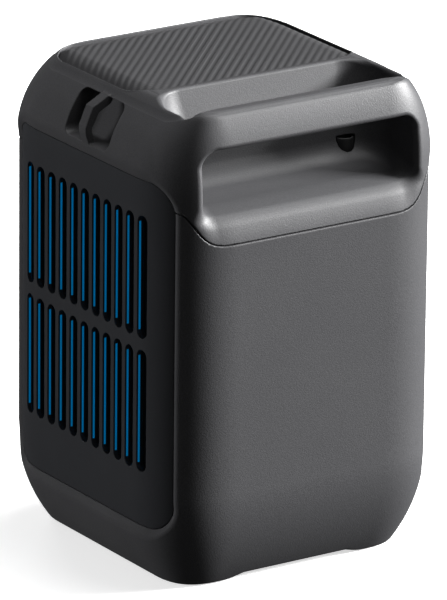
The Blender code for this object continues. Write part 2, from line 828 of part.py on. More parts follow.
def make_outlets():
    """Three mains outlets: a rounded block with two blade slots and a round earth hole."""
    for i, x in enumerate(outlet_xs):
        name = f"ac_outlet_{i + 1}"
        outlet = front_block(name, outlet_size, x, outlet_z, outlet_depth, black_plastic, face_proud, 0.005)
        long = 2 * slot_depth
        y = front_plane
        cuts = [
            box_mesh("live", (0.0020, long, 0.0068), (x + blade_half_pitch, y, outlet_z + 0.003)),
            box_mesh("neutral", (0.0020, long, 0.0084), (x - blade_half_pitch, y, outlet_z + 0.003)),
            cylinder_mesh("earth", 0.0026, long, (x, y, outlet_z - 0.008), "Y", 12),
        ]
        boolean(outlet, joined_mesh(name + "_cuts", cuts))
        bake(outlet)


def make_car_socket(panel):
    """A round 12 V socket and its hinged cap. The socket's rim lies on the panel."""
    ring_y = front_plane - gap - car_rim_thickness / 2
    face = ring_y - car_rim_thickness / 2
    data = cylinder_mesh("car_socket", car_outer, car_depth, (car_x, face + car_depth / 2, car_z), "Y")
    socket = new_object("car_socket", data, black_plastic)
    ring = cylinder_mesh("car_rim", car_rim_radius, car_rim_thickness, (car_x, ring_y, car_z), "Y")
    boolean(socket, ring, "UNION")
    bore = cylinder_mesh("car_bore", car_bore, 2 * (car_depth - wall), (car_x, face, car_z), "Y")
    boolean(socket, bore)
    smooth(bake(socket))

    hinge_y = face - gap - lid_thickness / 2
    hinge_z = car_z + car_rim_radius + hinge_lift
    disc = cylinder_mesh("car_socket_cap", car_rim_radius - 2 * gap, lid_thickness, (0, 0, car_z - hinge_z), "Y")
    lid = new_object("car_socket_cap", disc, black_plastic)
    lid.location = Vector((car_x, hinge_y, hinge_z))
    stub_y = face - gap + (car_stub - join_depth) / 2
    stub = cylinder_mesh("cap_stub", car_bore - 2 * gap, car_stub + join_depth, (car_x, stub_y, car_z), "Y")
    boolean(lid, stub, "UNION")
    add_strap(lid, car_x, hinge_y, hinge_z, car_z, lid_thickness)
    add_hinge(lid, panel, car_x, hinge_y, hinge_z)
    smooth(bake(lid))


def make_inlets(panel):
    """The solar inlet with its hinged cover, and the mains inlet with two pins."""
    inlet = front_block("dc_inlet", dc_size, dc_x, inlet_z, dc_depth, black_plastic)
    mouth = (dc_size[0] - 2 * dc_rim[0], 2 * dc_mouth_depth, dc_size[1] - 2 * dc_rim[1])
    boolean(inlet, box_mesh("dc_mouth", mouth, (dc_x, front_plane, inlet_z), "Y", 0.002, 2))
    bake(inlet)

    thick = cover_thickness
    wide, tall = dc_size[0] + 2 * cover_margin, dc_size[1] + 2 * cover_margin
    cover_y = front_plane - gap - thick / 2
    hinge_y = front_plane - gap - barrel_radius
    hinge_z = inlet_z + tall / 2 + hinge_lift
    plate = box_mesh("dc_inlet_cover", (wide, thick, tall), (0, cover_y - hinge_y, inlet_z - hinge_z), "Y", 0.002)
    cover = new_object("dc_inlet_cover", plate, black_plastic)
    cover.location = Vector((dc_x, hinge_y, hinge_z))
    plug = (mouth[0] - 4 * gap, 2 * cover_plug_depth, mouth[2] - 4 * gap)
    boolean(cover, box_mesh("cover_plug", plug, (dc_x, front_plane, inlet_z)), "UNION")
    add_strap(cover, dc_x, cover_y, hinge_z, inlet_z, thick)
    add_hinge(cover, panel, dc_x, hinge_y, hinge_z)
    smooth(bake(cover))

    mains = front_block("ac_inlet", ac_size, ac_x, inlet_z, ac_depth, black_plastic, face_proud)
    recess = (ac_size[0] - 2 * ac_rim, 2 * ac_recess_depth, ac_size[1] - 2 * ac_rim)
    boolean(mains, box_mesh("ac_recess", recess, (ac_x, front_plane, inlet_z), "Y", 0.003, 2))
    pin_long = ac_recess_depth - ac_pin_setback + join_depth
    for side in (1, -1):
        pin = (ac_x + side * ac_pin_half_pitch, front_plane + ac_pin_setback + pin_long / 2, inlet_z)
        boolean(mains, cylinder_mesh("ac_pin", ac_pin_radius, pin_long, pin, "Y", 8), "UNION")
    bake(mains)


# Inside ---------------------------------------------------------------------------
def make_cells():
    """Eight prismatic cells in a block of two columns and four rows."""
    count = 0
    for column in range(cell_columns):
        x = (column - (cell_columns - 1) / 2) * (cell_wide + cell_gap)
        for row in range(cell_rows):
            y = battery_centre_y + (row - (cell_rows - 1) / 2) * (cell_thick + cell_gap)
            count += 1
            name = f"battery_cell_{count}"
            size = (cell_wide, cell_thick, cell_tall)
            centre = (x, y, battery_floor + cell_tall / 2)
            new_object(name, box_mesh(name, size, centre, "Z", 0.003, 2), cell_blue)


def battery_size():
    wide = cell_columns * cell_wide + (cell_columns - 1) * cell_gap
    deep = cell_rows * cell_thick + (cell_rows - 1) * cell_gap
    return wide, deep


def make_battery_holders():
    """A tray under the cells, and a clamp frame round their tops."""
    wide, deep = battery_size()
    outer = (wide + 2 * (tray_wall + gap), deep + 2 * (tray_wall + gap))
    inner = (wide + 2 * gap, deep + 2 * gap)
    low = battery_floor - gap - tray_wall
    centre = (0, battery_centre_y, low + tray_tall / 2)
    tray = new_object("battery_tray", box_mesh(
        "battery_tray", (*outer, tray_tall), centre, "Z", 0.004), tray_plastic)
    inside = (0, battery_centre_y, battery_floor - gap + tray_tall / 2)
    boolean(tray, box_mesh("tray_inside", (*inner, tray_tall), inside))
    bake(tray)
    centre = (0, battery_centre_y, battery_top - clamp_tall / 2 + 0.002)
    clamp = new_object("battery_clamp", box_mesh(
        "battery_clamp", (*outer, clamp_tall), centre, "Z", 0.004), tray_plastic)
    boolean(clamp, box_mesh("clamp_inside", (*inner, clamp_tall * 2), centre))
    bake(clamp)


bms_z = battery_top + gap + board_thickness / 2 + 0.0004
shelf_z = bms_z + 0.0048
inverter_z = shelf_z + 0.0062
shelf_front = -0.036
shelf_back = 0.060


def board(name, size, centre, material=board_green):
    return new_object(name, box_mesh(name, size, centre), material)


def make_electronics():
    """The battery board, the shelf, the inverter with its sink, coil and capacitors, and the control board."""
    wide, deep = battery_size()
    board("bms_board", (wide - 0.006, deep - 0.006, board_thickness), (0, battery_centre_y, bms_z))
    length = shelf_back - shelf_front
    middle = (shelf_back + shelf_front) / 2
    board("mid_shelf", (0.128, length, shelf_thickness), (0, middle, shelf_z), tray_plastic)
    board("inverter_board", (0.108, length - 0.010, board_thickness), (-0.006, middle, inverter_z))
    top = inverter_z + board_thickness / 2 + gap
    make_heat_sink(top)
    coil = (0.036, 0.034, 0.030)
    board("transformer", coil, (0.018, -0.012, top + coil[2] / 2), ferrite)
    for i, y in enumerate((0.022, 0.044)):
        name = f"capacitor_{i + 1}"
        data = cylinder_mesh(name, 0.009, 0.034, (0.024, y, top + 0.017), "Z", 20)
        smooth(new_object(name, data, can_metal))
    back_y = front_plane + usb_depth + 2 * gap + board_thickness / 2
    size = (0.066, board_thickness, 0.064)
    board("control_board", size, (-0.022, back_y, usb_z + 0.026))


def make_heat_sink(bottom):
    """A comb of fins that the fan blows along."""
    wide, deep, tall = 0.050, 0.074, 0.028
    centre = (-0.032, 0.012, bottom + tall / 2)
    sink = new_object("heat_sink", box_mesh("heat_sink", (wide, deep, tall), centre), sink_metal)
    fins = 6
    pitch = deep / (2 * fins - 1)
    channels = []
    for i in range(fins - 1):
        y = centre[1] - deep / 2 + pitch * (2 * i + 1.5)
        channels.append(box_mesh("channel", (wide * 1.2, pitch, tall), (centre[0], y, centre[2] + 0.004)))
    boolean(sink, joined_mesh("channels", channels))
    return bake(sink)


def make_fan():
    """A square axial fan on the right, its axis along X, with a rotor that turns freely."""
    stack = panel_recess + slot_skin + accent_thickness + vent_frame_thickness + filter_thickness + 4 * layer_gap
    outer_x = half_width - stack - 0.0012
    x = outer_x - fan_thickness / 2
    centre = (x, fan_y, fan_z)
    size = (fan_thickness, fan_size, fan_size)
    housing = new_object("fan_housing", box_mesh("fan_housing", size, centre, "X", 0.003, 2), black_plastic)
    boolean(housing, cylinder_mesh("fan_bore", fan_bore, fan_thickness * 1.4, centre, "X", 32))
    spoke_x = x - fan_thickness / 2 + 0.0012
    for upright in (True, False):
        spoke = (0.0024, 0.004, 2 * fan_bore + 0.002) if upright else (0.0024, 2 * fan_bore + 0.002, 0.004)
        boolean(housing, box_mesh("fan_spoke", spoke, (spoke_x, fan_y, fan_z)), "UNION")
    disc = cylinder_mesh("fan_motor", fan_hub, 0.0024, (spoke_x, fan_y, fan_z), "X", 24)
    boolean(housing, disc, "UNION")
    bake(housing)

    rotor_deep = fan_thickness - 0.0024 - 0.0022
    rotor_x = x - fan_thickness / 2 + 0.0024 + 0.0010 + rotor_deep / 2
    origin = Vector((rotor_x, fan_y, fan_z))
    rotor = new_object("fan_rotor", cylinder_mesh("fan_rotor", fan_hub, rotor_deep, (0, 0, 0), "X", 24), black_plastic)
    rotor.location = origin
    reach = fan_bore - 0.0012
    for i in range(fan_blades):
        blade = box_mesh("blade", (0.0014, 0.012, reach - fan_hub * 0.8), (0, 0, (reach + fan_hub * 0.8) / 2))
        blade.transform(Matrix.Rotation(math.radians(38), 4, "Z"))
        blade.transform(Matrix.Rotation(math.tau * i / fan_blades, 4, "X"))
        boolean(rotor, moved_mesh(blade, origin), "UNION")
    smooth(bake(rotor))


# Assembly -------------------------------------------------------------------------
make_top_cap()
make_top_pad()
make_main_shell()
for side, word in ((1, "right"), (-1, "left")):
    make_side(side, word)
    make_foot(side, "rubber_foot_" + word)
    make_plug(side, "handle_plug_" + word)
front_panel = make_front_panel()
make_display()
make_light()
make_buttons()
make_usb()
make_outlets()
make_car_socket(front_panel)
make_inlets(front_panel)
smooth(bake(front_panel))
make_cells()
make_battery_holders()
make_electronics()
make_fan()
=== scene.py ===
import math

import bmesh
import bpy
import numpy as np
from mathutils import Matrix, Vector
from mathutils.geometry import delaunay_2d_cdt


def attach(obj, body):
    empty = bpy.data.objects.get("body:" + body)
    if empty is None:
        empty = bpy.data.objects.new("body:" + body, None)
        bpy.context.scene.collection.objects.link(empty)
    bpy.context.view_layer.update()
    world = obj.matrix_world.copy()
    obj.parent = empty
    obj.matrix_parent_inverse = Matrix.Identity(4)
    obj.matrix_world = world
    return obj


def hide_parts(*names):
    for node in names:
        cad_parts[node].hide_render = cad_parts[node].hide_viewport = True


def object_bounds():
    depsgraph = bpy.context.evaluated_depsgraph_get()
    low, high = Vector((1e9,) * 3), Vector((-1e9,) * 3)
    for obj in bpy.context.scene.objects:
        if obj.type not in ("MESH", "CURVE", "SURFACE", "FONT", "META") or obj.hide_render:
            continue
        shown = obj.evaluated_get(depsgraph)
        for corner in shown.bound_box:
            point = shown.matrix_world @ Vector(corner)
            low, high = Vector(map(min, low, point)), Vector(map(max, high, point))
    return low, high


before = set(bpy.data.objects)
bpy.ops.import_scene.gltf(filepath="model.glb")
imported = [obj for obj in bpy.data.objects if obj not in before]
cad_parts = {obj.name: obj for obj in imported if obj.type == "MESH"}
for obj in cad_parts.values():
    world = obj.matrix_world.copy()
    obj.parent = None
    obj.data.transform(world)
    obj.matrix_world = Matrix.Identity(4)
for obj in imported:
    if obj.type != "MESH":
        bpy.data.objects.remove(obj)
cadLow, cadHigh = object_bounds()
halfWidth, halfDepth, bodyHeight = cadHigh.x, cadHigh.y, cadHigh.z
print("frame loaded", len(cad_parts), "nodes")

# the moulded body; every length here is in metres
hull = {
    "cornerReach": 0.041, "cornerPower": 2.66,
    "crownHeight": 0.042, "crownInset": 0.0201, "frontShare": 0.823, "backShare": 0.428,
    "crownCornerFront": 0.0263, "crownCornerBack": 0.0141, "rimRadius": 0.0117,
    "skirtHeight": 0.050, "skirtInset": 0.0172, "skirtShare": 0.863, "skirtCorner": 0.0227,
    "ground": 0.0004, "groundRound": 0.0012, "slopeStep": 0.0004,
}
dish = {  # the shallow recess that each vented panel sits in
    "half": 0.068, "top": 0.2056, "bottom": 0.031, "corner": 0.014,
    "depth": 0.0026, "chamferTop": 0.0054, "chamferSide": 0.0034, "soft": 0.0010,
    "sideFrom": (0.050, 0.066),  # |y| over which the top's chamfer narrows to the sides'
    "sinkFrom": (0.050, 0.060),  # |x| over which the sinking sets in
}
gap = 0.0003  # the fine line between two mouldings


# fields: negative inside, about a distance in metres near the surface
def smoothStep(value, first, last):
    # cubic ease from 0 at first to 1 at last
    t = np.clip((value - first) / (last - first), 0, 1)
    return t * t * (3 - 2 * t)


def meet(a, b, radius):
    # what both hold: the greater of the two, with the shared edge rounded by a circle of that radius
    sharp = np.minimum(np.maximum(a, b), -radius)
    return sharp + np.sqrt(np.maximum(a + radius, 0) ** 2 + np.maximum(b + radius, 0) ** 2)


def cut(a, b, radius):
    # a without b: a meets the outside of b, the lip rounded
    return meet(a, -b, radius)


def weld(a, b, radius):
    # both together: the lesser of the two, with the inner corner filled by a circle of that radius
    return -meet(-a, -b, radius)


def roundRect(u, v, halfU, halfV, radius):
    # distance to a rectangle with round corners, centred on zero
    qu, qv = np.abs(u) - halfU + radius, np.abs(v) - halfV + radius
    outside = np.sqrt(np.maximum(qu, 0) ** 2 + np.maximum(qv, 0) ** 2)
    return outside + np.minimum(np.maximum(qu, qv), 0) - radius


def polygon(u, v, corners):
    # distance to a closed outline: nearest edge, signed by the crossing rule
    best, sign = None, 1.0
    for (au, av), (bu, bv) in zip(corners, corners[1:] + corners[:1]):
        eu, ev = bu - au, bv - av
        wu, wv = u - au, v - av
        t = np.clip((wu * eu + wv * ev) / (eu * eu + ev * ev), 0, 1)
        far = (wu - eu * t) ** 2 + (wv - ev * t) ** 2
        best = far if best is None else np.minimum(best, far)
        above, below = v >= av, v < bv
        left = eu * wv > ev * wu
        flip = (above & below & left) | (~above & ~below & ~left)
        sign = np.where(flip, -sign, sign)
    return sign * np.sqrt(best)


def arc(centreU, centreV, radius, first, last, steps):
    # points on a circle, equally spaced from one angle to another in degrees
    turn = np.radians(np.linspace(first, last, steps + 1))
    return [(centreU + radius * math.cos(a), centreV + radius * math.sin(a)) for a in turn]


def drawnIn(z):
    # how far the level section has drawn in at a height: above, a large arc that starts upright and
    # a small rim arc that ends level; below, the skirt's large arc; front, back and corners take shares
    crown, side, rim = hull["crownHeight"], hull["crownInset"], hull["rimRadius"]
    big = (crown ** 2 + side ** 2) / (2 * side)
    rimZ = crown - rim
    rimIn = big - math.sqrt((big - rim) ** 2 - rimZ ** 2)
    meetZ = rimZ * big / (big - rim)
    lift = np.clip(z - bodyHeight + crown, 0, crown)
    up = np.clip((lift - rimZ) / rim, 0, 1)
    wallIn = big - np.sqrt(big ** 2 - lift ** 2)
    crownIn = np.where(lift <= meetZ, wallIn, rimIn - rim * np.sqrt(1 - up ** 2))
    skirt, skirtIn = hull["skirtHeight"], hull["skirtInset"]
    low = (skirt ** 2 + skirtIn ** 2) / (2 * skirtIn)
    below = np.clip(skirt - z, 0, skirt)
    lowIn = low - np.sqrt(low ** 2 - below ** 2)
    share = crownIn / side
    lowShare = lowIn / skirtIn
    reach = hull["cornerReach"] + (hull["skirtCorner"] - hull["cornerReach"]) * lowShare
    frontReach = reach + (hull["crownCornerFront"] - hull["cornerReach"]) * share
    backReach = reach + (hull["crownCornerBack"] - hull["cornerReach"]) * share
    across = crownIn + lowIn
    front = crownIn * hull["frontShare"] + lowIn * hull["skirtShare"]
    back = crownIn * hull["backShare"] + lowIn * hull["skirtShare"]
    return across, front, back, frontReach, backReach


def sectionField(x, y, z):
    # distance in the level plane to a rectangle whose corners are superellipses
    across, front, back, frontReach, backReach = drawnIn(z)
    behind = y > 0
    reach = np.where(behind, backReach, frontReach)
    qx = np.abs(x) - (halfWidth - across - reach)
    qy = np.abs(y) - (halfDepth - np.where(behind, back, front) - reach)
    power = hull["cornerPower"]
    corner = (np.maximum(qx, 0) ** power + np.maximum(qy, 0) ** power) ** (1 / power)
    return corner + np.minimum(np.maximum(qx, qy), 0) - reach


def hullField(x, y, z):
    # the level distance, divided by the slope of the wall, under the flat top
    small = hull["slopeStep"]
    level = sectionField(x, y, z)
    slope = (sectionField(x, y, z + small) - sectionField(x, y, z - small)) / (2 * small)
    wall = level / np.sqrt(1 + slope ** 2)
    wall = meet(wall, hull["ground"] - z, hull["groundRound"])
    return np.maximum(wall, z - bodyHeight)


def panelBox(y, z):
    # distance, seen from the side, to the vented panel's outline
    middle, tall = (dish["top"] + dish["bottom"]) / 2, (dish["top"] - dish["bottom"]) / 2
    return roundRect(y, z - middle, dish["half"], tall, dish["corner"])


def dishedHull(x, y, z, raw):
    # the hull, sunk towards each panel down a straight chamfer whose foot is a short parabola
    off = panelBox(y, z)
    top, side = dish["chamferTop"], dish["chamferSide"]
    wide = top + (side - top) * smoothStep(np.abs(y), *dish["sideFrom"])
    ramp = dish["depth"] * (1 - off / wide)
    soft = dish["soft"]
    ramp = np.where(ramp > soft, ramp, np.maximum(ramp + soft, 0) ** 2 / (4 * soft))
    sunk = np.minimum(ramp, dish["depth"]) * smoothStep(np.abs(x), *dish["sinkFrom"])
    return raw + sunk


def hullX(y, z, inset):
    # x of the hull's right wall at a place, drawn in by an inset: straight, then the superellipse corner
    across, front, back, frontReach, backReach = drawnIn(z)
    behind = y > 0
    whole = np.where(behind, backReach, frontReach)
    reach = whole - inset
    straight = halfDepth - np.where(behind, back, front) - whole
    u = np.clip((np.abs(y) - straight) / reach, 0, 0.9999)  # just short of the corner's end
    power = hull["cornerPower"]
    return halfWidth - across - whole + reach * (1 - u ** power) ** (1 / power)


newPieces = []


def settle(made, body, replaced, slot):
    # one place where a piece gets its body, the nodes it stands for and its finish
    newPieces.append((made, slot))
    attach(made, body)
    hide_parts(*replaced)


def addMesh(name, points, faces, replaced, slot, body="housing"):
    # arrays of points and of equal-sided faces written straight into a mesh, all faces smooth
    mesh = bpy.data.meshes.new(name)
    corners = faces.shape[1]
    mesh.vertices.add(len(points))
    mesh.vertices.foreach_set("co", np.ascontiguousarray(points, np.float32).ravel())
    mesh.loops.add(faces.size)
    mesh.loops.foreach_set("vertex_index", np.ascontiguousarray(faces, np.int32).ravel())
    mesh.polygons.add(len(faces))
    mesh.polygons.foreach_set("loop_start", np.arange(0, faces.size, corners, dtype=np.int32))
    mesh.polygons.foreach_set("loop_total", np.full(len(faces), corners, np.int32))
    mesh.polygons.foreach_set("use_smooth", np.ones(len(faces), bool))
    mesh.update()
    mesh.validate()
    made = bpy.data.objects.new(name, mesh)
    bpy.context.scene.collection.objects.link(made)
    settle(made, body, replaced, slot)
    return made


def skinOf(field, low, high, step):
    # surface nets: one point in each grid cell that the surface crosses, at the mean of the places
    # where it crosses the cell's edges, and one quad round each crossed edge
    axes = [np.arange(l, h + step, step) for l, h in zip(low, high)]
    x, y, z = np.meshgrid(*axes, indexing="ij", sparse=True)
    values = field(x, y, z).astype(np.float32)
    inside = values < 0
    count = np.zeros([n - 1 for n in values.shape], np.int8)
    for i in (0, 1):
        for j in (0, 1):
            for k in (0, 1):
                count += inside[i:count.shape[0] + i, j:count.shape[1] + j, k:count.shape[2] + k]
    crossed = (count > 0) & (count < 8)
    cells = np.argwhere(crossed)
    number = np.full(crossed.shape, -1, np.int32)
    number[crossed] = np.arange(len(cells))
    total = np.zeros((len(cells), 3))
    hits = np.zeros(len(cells))
    for axis in range(3):
        for corner in ((0, 0), (0, 1), (1, 0), (1, 1)):
            shift = np.insert(np.array(corner), axis, 0)
            start = cells + shift
            end = start.copy()
            end[:, axis] += 1
            first, last = values[tuple(start.T)], values[tuple(end.T)]
            crossing = (first < 0) != (last < 0)
            t = np.where(crossing, first / np.where(crossing, first - last, 1), 0)
            place = np.tile(shift.astype(float), (len(cells), 1))
            place[:, axis] += t
            total += place * crossing[:, None]
            hits += crossing
    points = np.array([a[0] for a in axes]) + step * (cells + total / hits[:, None])
    quads = []
    for axis in range(3):
        b, c = (axis + 1) % 3, (axis + 2) % 3
        lowEnd = [slice(1, -1)] * 3
        highEnd = [slice(1, -1)] * 3
        lowEnd[axis], highEnd[axis] = slice(0, -1), slice(1, None)
        first, last = inside[tuple(lowEnd)], inside[tuple(highEnd)]
        for leaving in (True, False):
            edges = np.argwhere((first & ~last) if leaving else (~first & last))
            edges[:, b] += 1
            edges[:, c] += 1
            ring = []
            for db, dc in ((-1, -1), (0, -1), (0, 0), (-1, 0)):
                cell = edges.copy()
                cell[:, b] += db
                cell[:, c] += dc
                ring.append(number[tuple(cell.T)])
            quads.append(np.stack(ring if leaving else ring[::-1], 1))
    return points, np.concatenate(quads)


def slopeOf(field, points, small=0.00012):
    # the field's gradient by central differences, made one long
    grown = []
    for axis in range(3):
        step = np.zeros(3)
        step[axis] = small
        ahead, behind = (points + step).T, (points - step).T
        grown.append(field(*ahead) - field(*behind))
    slope = np.stack(grown, 1)
    return slope / np.maximum(np.linalg.norm(slope, axis=1), 1e-9)[:, None]


def moulded(name, field, low, high, step, mostTris, replaced, slot):
    # a solid from its field, thinned to a number of triangles, shaded by the field's own slope
    points, quads = skinOf(field, low, high, step)
    made = addMesh(name, points, quads, replaced, slot)
    share = mostTris / (2 * len(quads))
    if share < 1:
        thin = made.modifiers.new("thin", "DECIMATE")
        thin.ratio = share
        bpy.context.view_layer.update()
        shown = made.evaluated_get(bpy.context.evaluated_depsgraph_get())
        mesh = bpy.data.meshes.new_from_object(shown)
        made.modifiers.clear()
        made.data = mesh
    mesh = made.data
    places = np.zeros(len(mesh.vertices) * 3, np.float32)
    mesh.vertices.foreach_get("co", places)
    normals = slopeOf(field, places.reshape(-1, 3).astype(float))
    mesh.polygons.foreach_set("use_smooth", np.ones(len(mesh.polygons), bool))
    mesh.normals_split_custom_set_from_vertices(normals.astype(np.float32).tolist())
    print(name, len(quads) * 2, "to", len(mesh.polygons), "faces")
    return made


# the top cap: lid, handle, hand space, pad pocket and strap bars in one moulding
cap = {
    "step": 0.0005, "tris": 190000, "seamRound": 0.0005, "wall": 0.0030,
    "lidFloor": 0.1936, "tongueLow": 0.1763, "tongueHalf": 0.0470,
    "tongueSweep": ((0, 0), (0.0045, 0.0002), (0.0080, 0.0009), (0.0108, 0.0020), (0.0134, 0.0039),
                    (0.0154, 0.0060), (0.0172, 0.0085), (0.0190, 0.0112), (0.0210, 0.0141), (0.0233, 0.0170)),
    "tongueSide": 0.090, "tongueTop": 0.230,  # beyond the body, where the tongue's outline closes
    "tubHalf": 0.0660, "tubFront": 0.0240, "tubBack": 0.0720, "tubLow": 0.1850,
}
hand = {
    "half": 0.0605, "flare": 0.0018, "flareBelowTop": 0.002, "endRound": 0.0180,
    "corner": 0.0030, "cornerMore": 0.0050, "cornerFrom": (-0.234, -0.226),  # eased over -z
    "wallTop": (0.0292, 0.240), "wallLow": (0.0412, 0.1955),  # the section's corners as (y, z)
    "floorBack": (0.0742, 0.1920), "lip": (0.0806, 0.1843), "crease": 0.0080, "lipRound": 0.0075,
    "barInner": 0.0645, "barUnder": 0.2228, "barRound": 0.0035,
    "coreBehind": 0.002, "coreLow": 0.2180,  # the bar stays solid inside these
    "edge": 0.0011, "sideLip": 0.0042, "lowLip": 0.0080, "topLip": 0.0026, "endLip": 0.0022,
    "endFrom": (0.046, 0.060), "pastWall": (0.029, 0.036), "mouthFrom": (0.066, 0.071),
    "lowFrom": (-0.196, -0.188), "topFrom": (0.214, 0.222),  # where each lip's radius eases in
}
band = {
    "halfX": 0.0655, "front": -0.0632, "back": 0.0694, "radius": 0.0190, "wide": 0.0031, "deep": 0.00042,
    "rise": (0.2255, 0.2290),
}
pad = {
    "half": 0.0640, "front": -0.0606, "back": 0.0267, "corner": 0.0172, "deep": 0.0034, "edge": 0.0003,
    "lip": 0.00022, "lipAt": 0.0006, "lipWide": 0.0005, "lipEnd": (0.012, 0.004),
}
strap = {
    "centre": 0.0018, "half": 0.0191, "top": 0.2332, "bottom": 0.2117, "corner": 0.0040, "deep": 0.0095,
    "wallTop": 0.0692, "wallLow": 0.0802, "floorRound": 0.0012, "lip": 0.0006,
    "barHalf": 0.0033, "barEdge": 0.0005, "barWeld": 0.0006,
    # the bar's corners, down its face, round its toe and up its back; heights count from the
    # recess's top, the toe's from its bottom, and the outer pairs' x counts in from the widest point
    "face": ((0.0692, 0.0012), (0.0720, -0.0004)),
    "faceOuter": ((0.0042, -0.0034), (0.0, -0.0130), (0.0, -0.0162)),
    "toe": ((0.0802, 0.0), (0.0792, -0.0016), (0.0764, -0.0016)),
    "backOuter": ((0.0040, -0.0158), (0.0040, -0.0136), (0.0078, -0.0066)),
    "back": ((0.0674, -0.0032), (0.0650, 0.0012)),
}
plug = {
    "x": 0.0450, "y": 0.0376, "radius": 0.0049, "floor": 0.1963, "height": 0.0076, "bore": 0.0038,
    "nicheTop": 0.2048, "nicheRound": 0.0005, "nicheLip": 0.0006, "turns": 40, "crease": 35,
}


def below(y, z, first, second):
    # signed distance to the line through two (y, z) points, positive on its left
    along = np.array(second) - np.array(first)
    along = along / np.linalg.norm(along)
    return (z - first[1]) * along[0] - (y - first[0]) * along[1]


def handField(x, y, z):
    # the hand space: what lies past the steep wall, above the floor and its lip and between the ends,
    # less the bar; every corner is rounded as the two fields meet
    wall = below(y, z, hand["wallTop"], hand["wallLow"])
    floor = below(y, z, hand["wallLow"], hand["floorBack"])
    lip = below(y, z, hand["floorBack"], hand["lip"])
    bottom = weld(-floor, -lip, hand["lipRound"])
    bar = meet(hand["barInner"] - y, hand["barUnder"] - z, hand["barRound"])
    half = hand["half"] + hand["flare"] * smoothStep(z, hand["barUnder"], bodyHeight - hand["flareBelowTop"])
    space = meet(meet(-wall, np.abs(x) - half, hand["endRound"]), bottom, hand["crease"])
    corner = hand["corner"] + hand["cornerMore"] * smoothStep(-z, *hand["cornerFrom"])
    return meet(space, -bar, corner)


def strapBarOutline():
    # the bent bar's closed outline seen from the front, as (x, z) corners
    top, low, out = strap["top"], strap["bottom"], halfWidth
    corners = [(x, top + up) for x, up in strap["face"]]
    corners += [(out - into, top + up) for into, up in strap["faceOuter"]]
    corners += [(x, low + up) for x, up in strap["toe"]]
    corners += [(out - into, top + up) for into, up in strap["backOuter"]]
    return corners + [(x, top + up) for x, up in strap["back"]]


def strapPocket(x, y, z):
    # a round-cornered mouth seen from the side, as deep as a plane that leans like the crown's wall
    middle, tall = (strap["top"] + strap["bottom"]) / 2, (strap["top"] - strap["bottom"]) / 2
    mouth = roundRect(y - strap["centre"], z - middle, strap["half"], tall, strap["corner"])
    upper = (strap["wallTop"] - strap["deep"], strap["top"])
    lower = (strap["wallLow"] - strap["deep"], strap["bottom"])
    return meet(mouth, -below(np.abs(x), z, upper, lower), strap["floorRound"])


def capZone(x, y, z):
    # what belongs to the cap: the lid, a swept tongue down the back, and the tub of the hand space
    lid = np.maximum(-panelBox(y, z), cap["lidFloor"] - z)
    low, half = cap["tongueLow"], cap["tongueHalf"]
    sweep = [(half + along, low + rise) for along, rise in cap["tongueSweep"]]
    side = sweep + [(cap["tongueSide"], cap["lidFloor"]), (cap["tongueSide"], cap["tongueTop"])]
    outline = side + [(-u, v) for u, v in reversed(side)]
    tongue = np.maximum(polygon(x, z, outline), dish["half"] + gap - y)
    tub = np.maximum(np.maximum(np.abs(x) - cap["tubHalf"], cap["tubFront"] - y), cap["tubLow"] - z)
    tub = np.maximum(tub, y - cap["tubBack"])
    return np.minimum(np.minimum(lid, tongue), tub)


def topTrim(x, y, z, body):
    # a shallow parabola of a band round the crown, and a fine bell-shaped lip beside the pad
    middle, long = (band["front"] + band["back"]) / 2, (band["back"] - band["front"]) / 2
    off = roundRect(x, y - middle, band["halfX"], long, band["radius"])
    t = np.clip(off / band["wide"], 0, 1)
    high = smoothStep(z, *band["rise"])
    middle, long = (pad["front"] + pad["back"]) / 2, (pad["back"] - pad["front"]) / 2
    edge = roundRect(x, y - middle, pad["half"], long, pad["corner"])
    ridge = np.exp(-((edge - pad["lipAt"]) / pad["lipWide"]) ** 2)
    ridge = ridge * (1 - smoothStep(y, pad["back"] - pad["lipEnd"][0], pad["back"] - pad["lipEnd"][1]))
    return body + (band["deep"] * 4 * t * (1 - t) - pad["lip"] * ridge) * high, edge


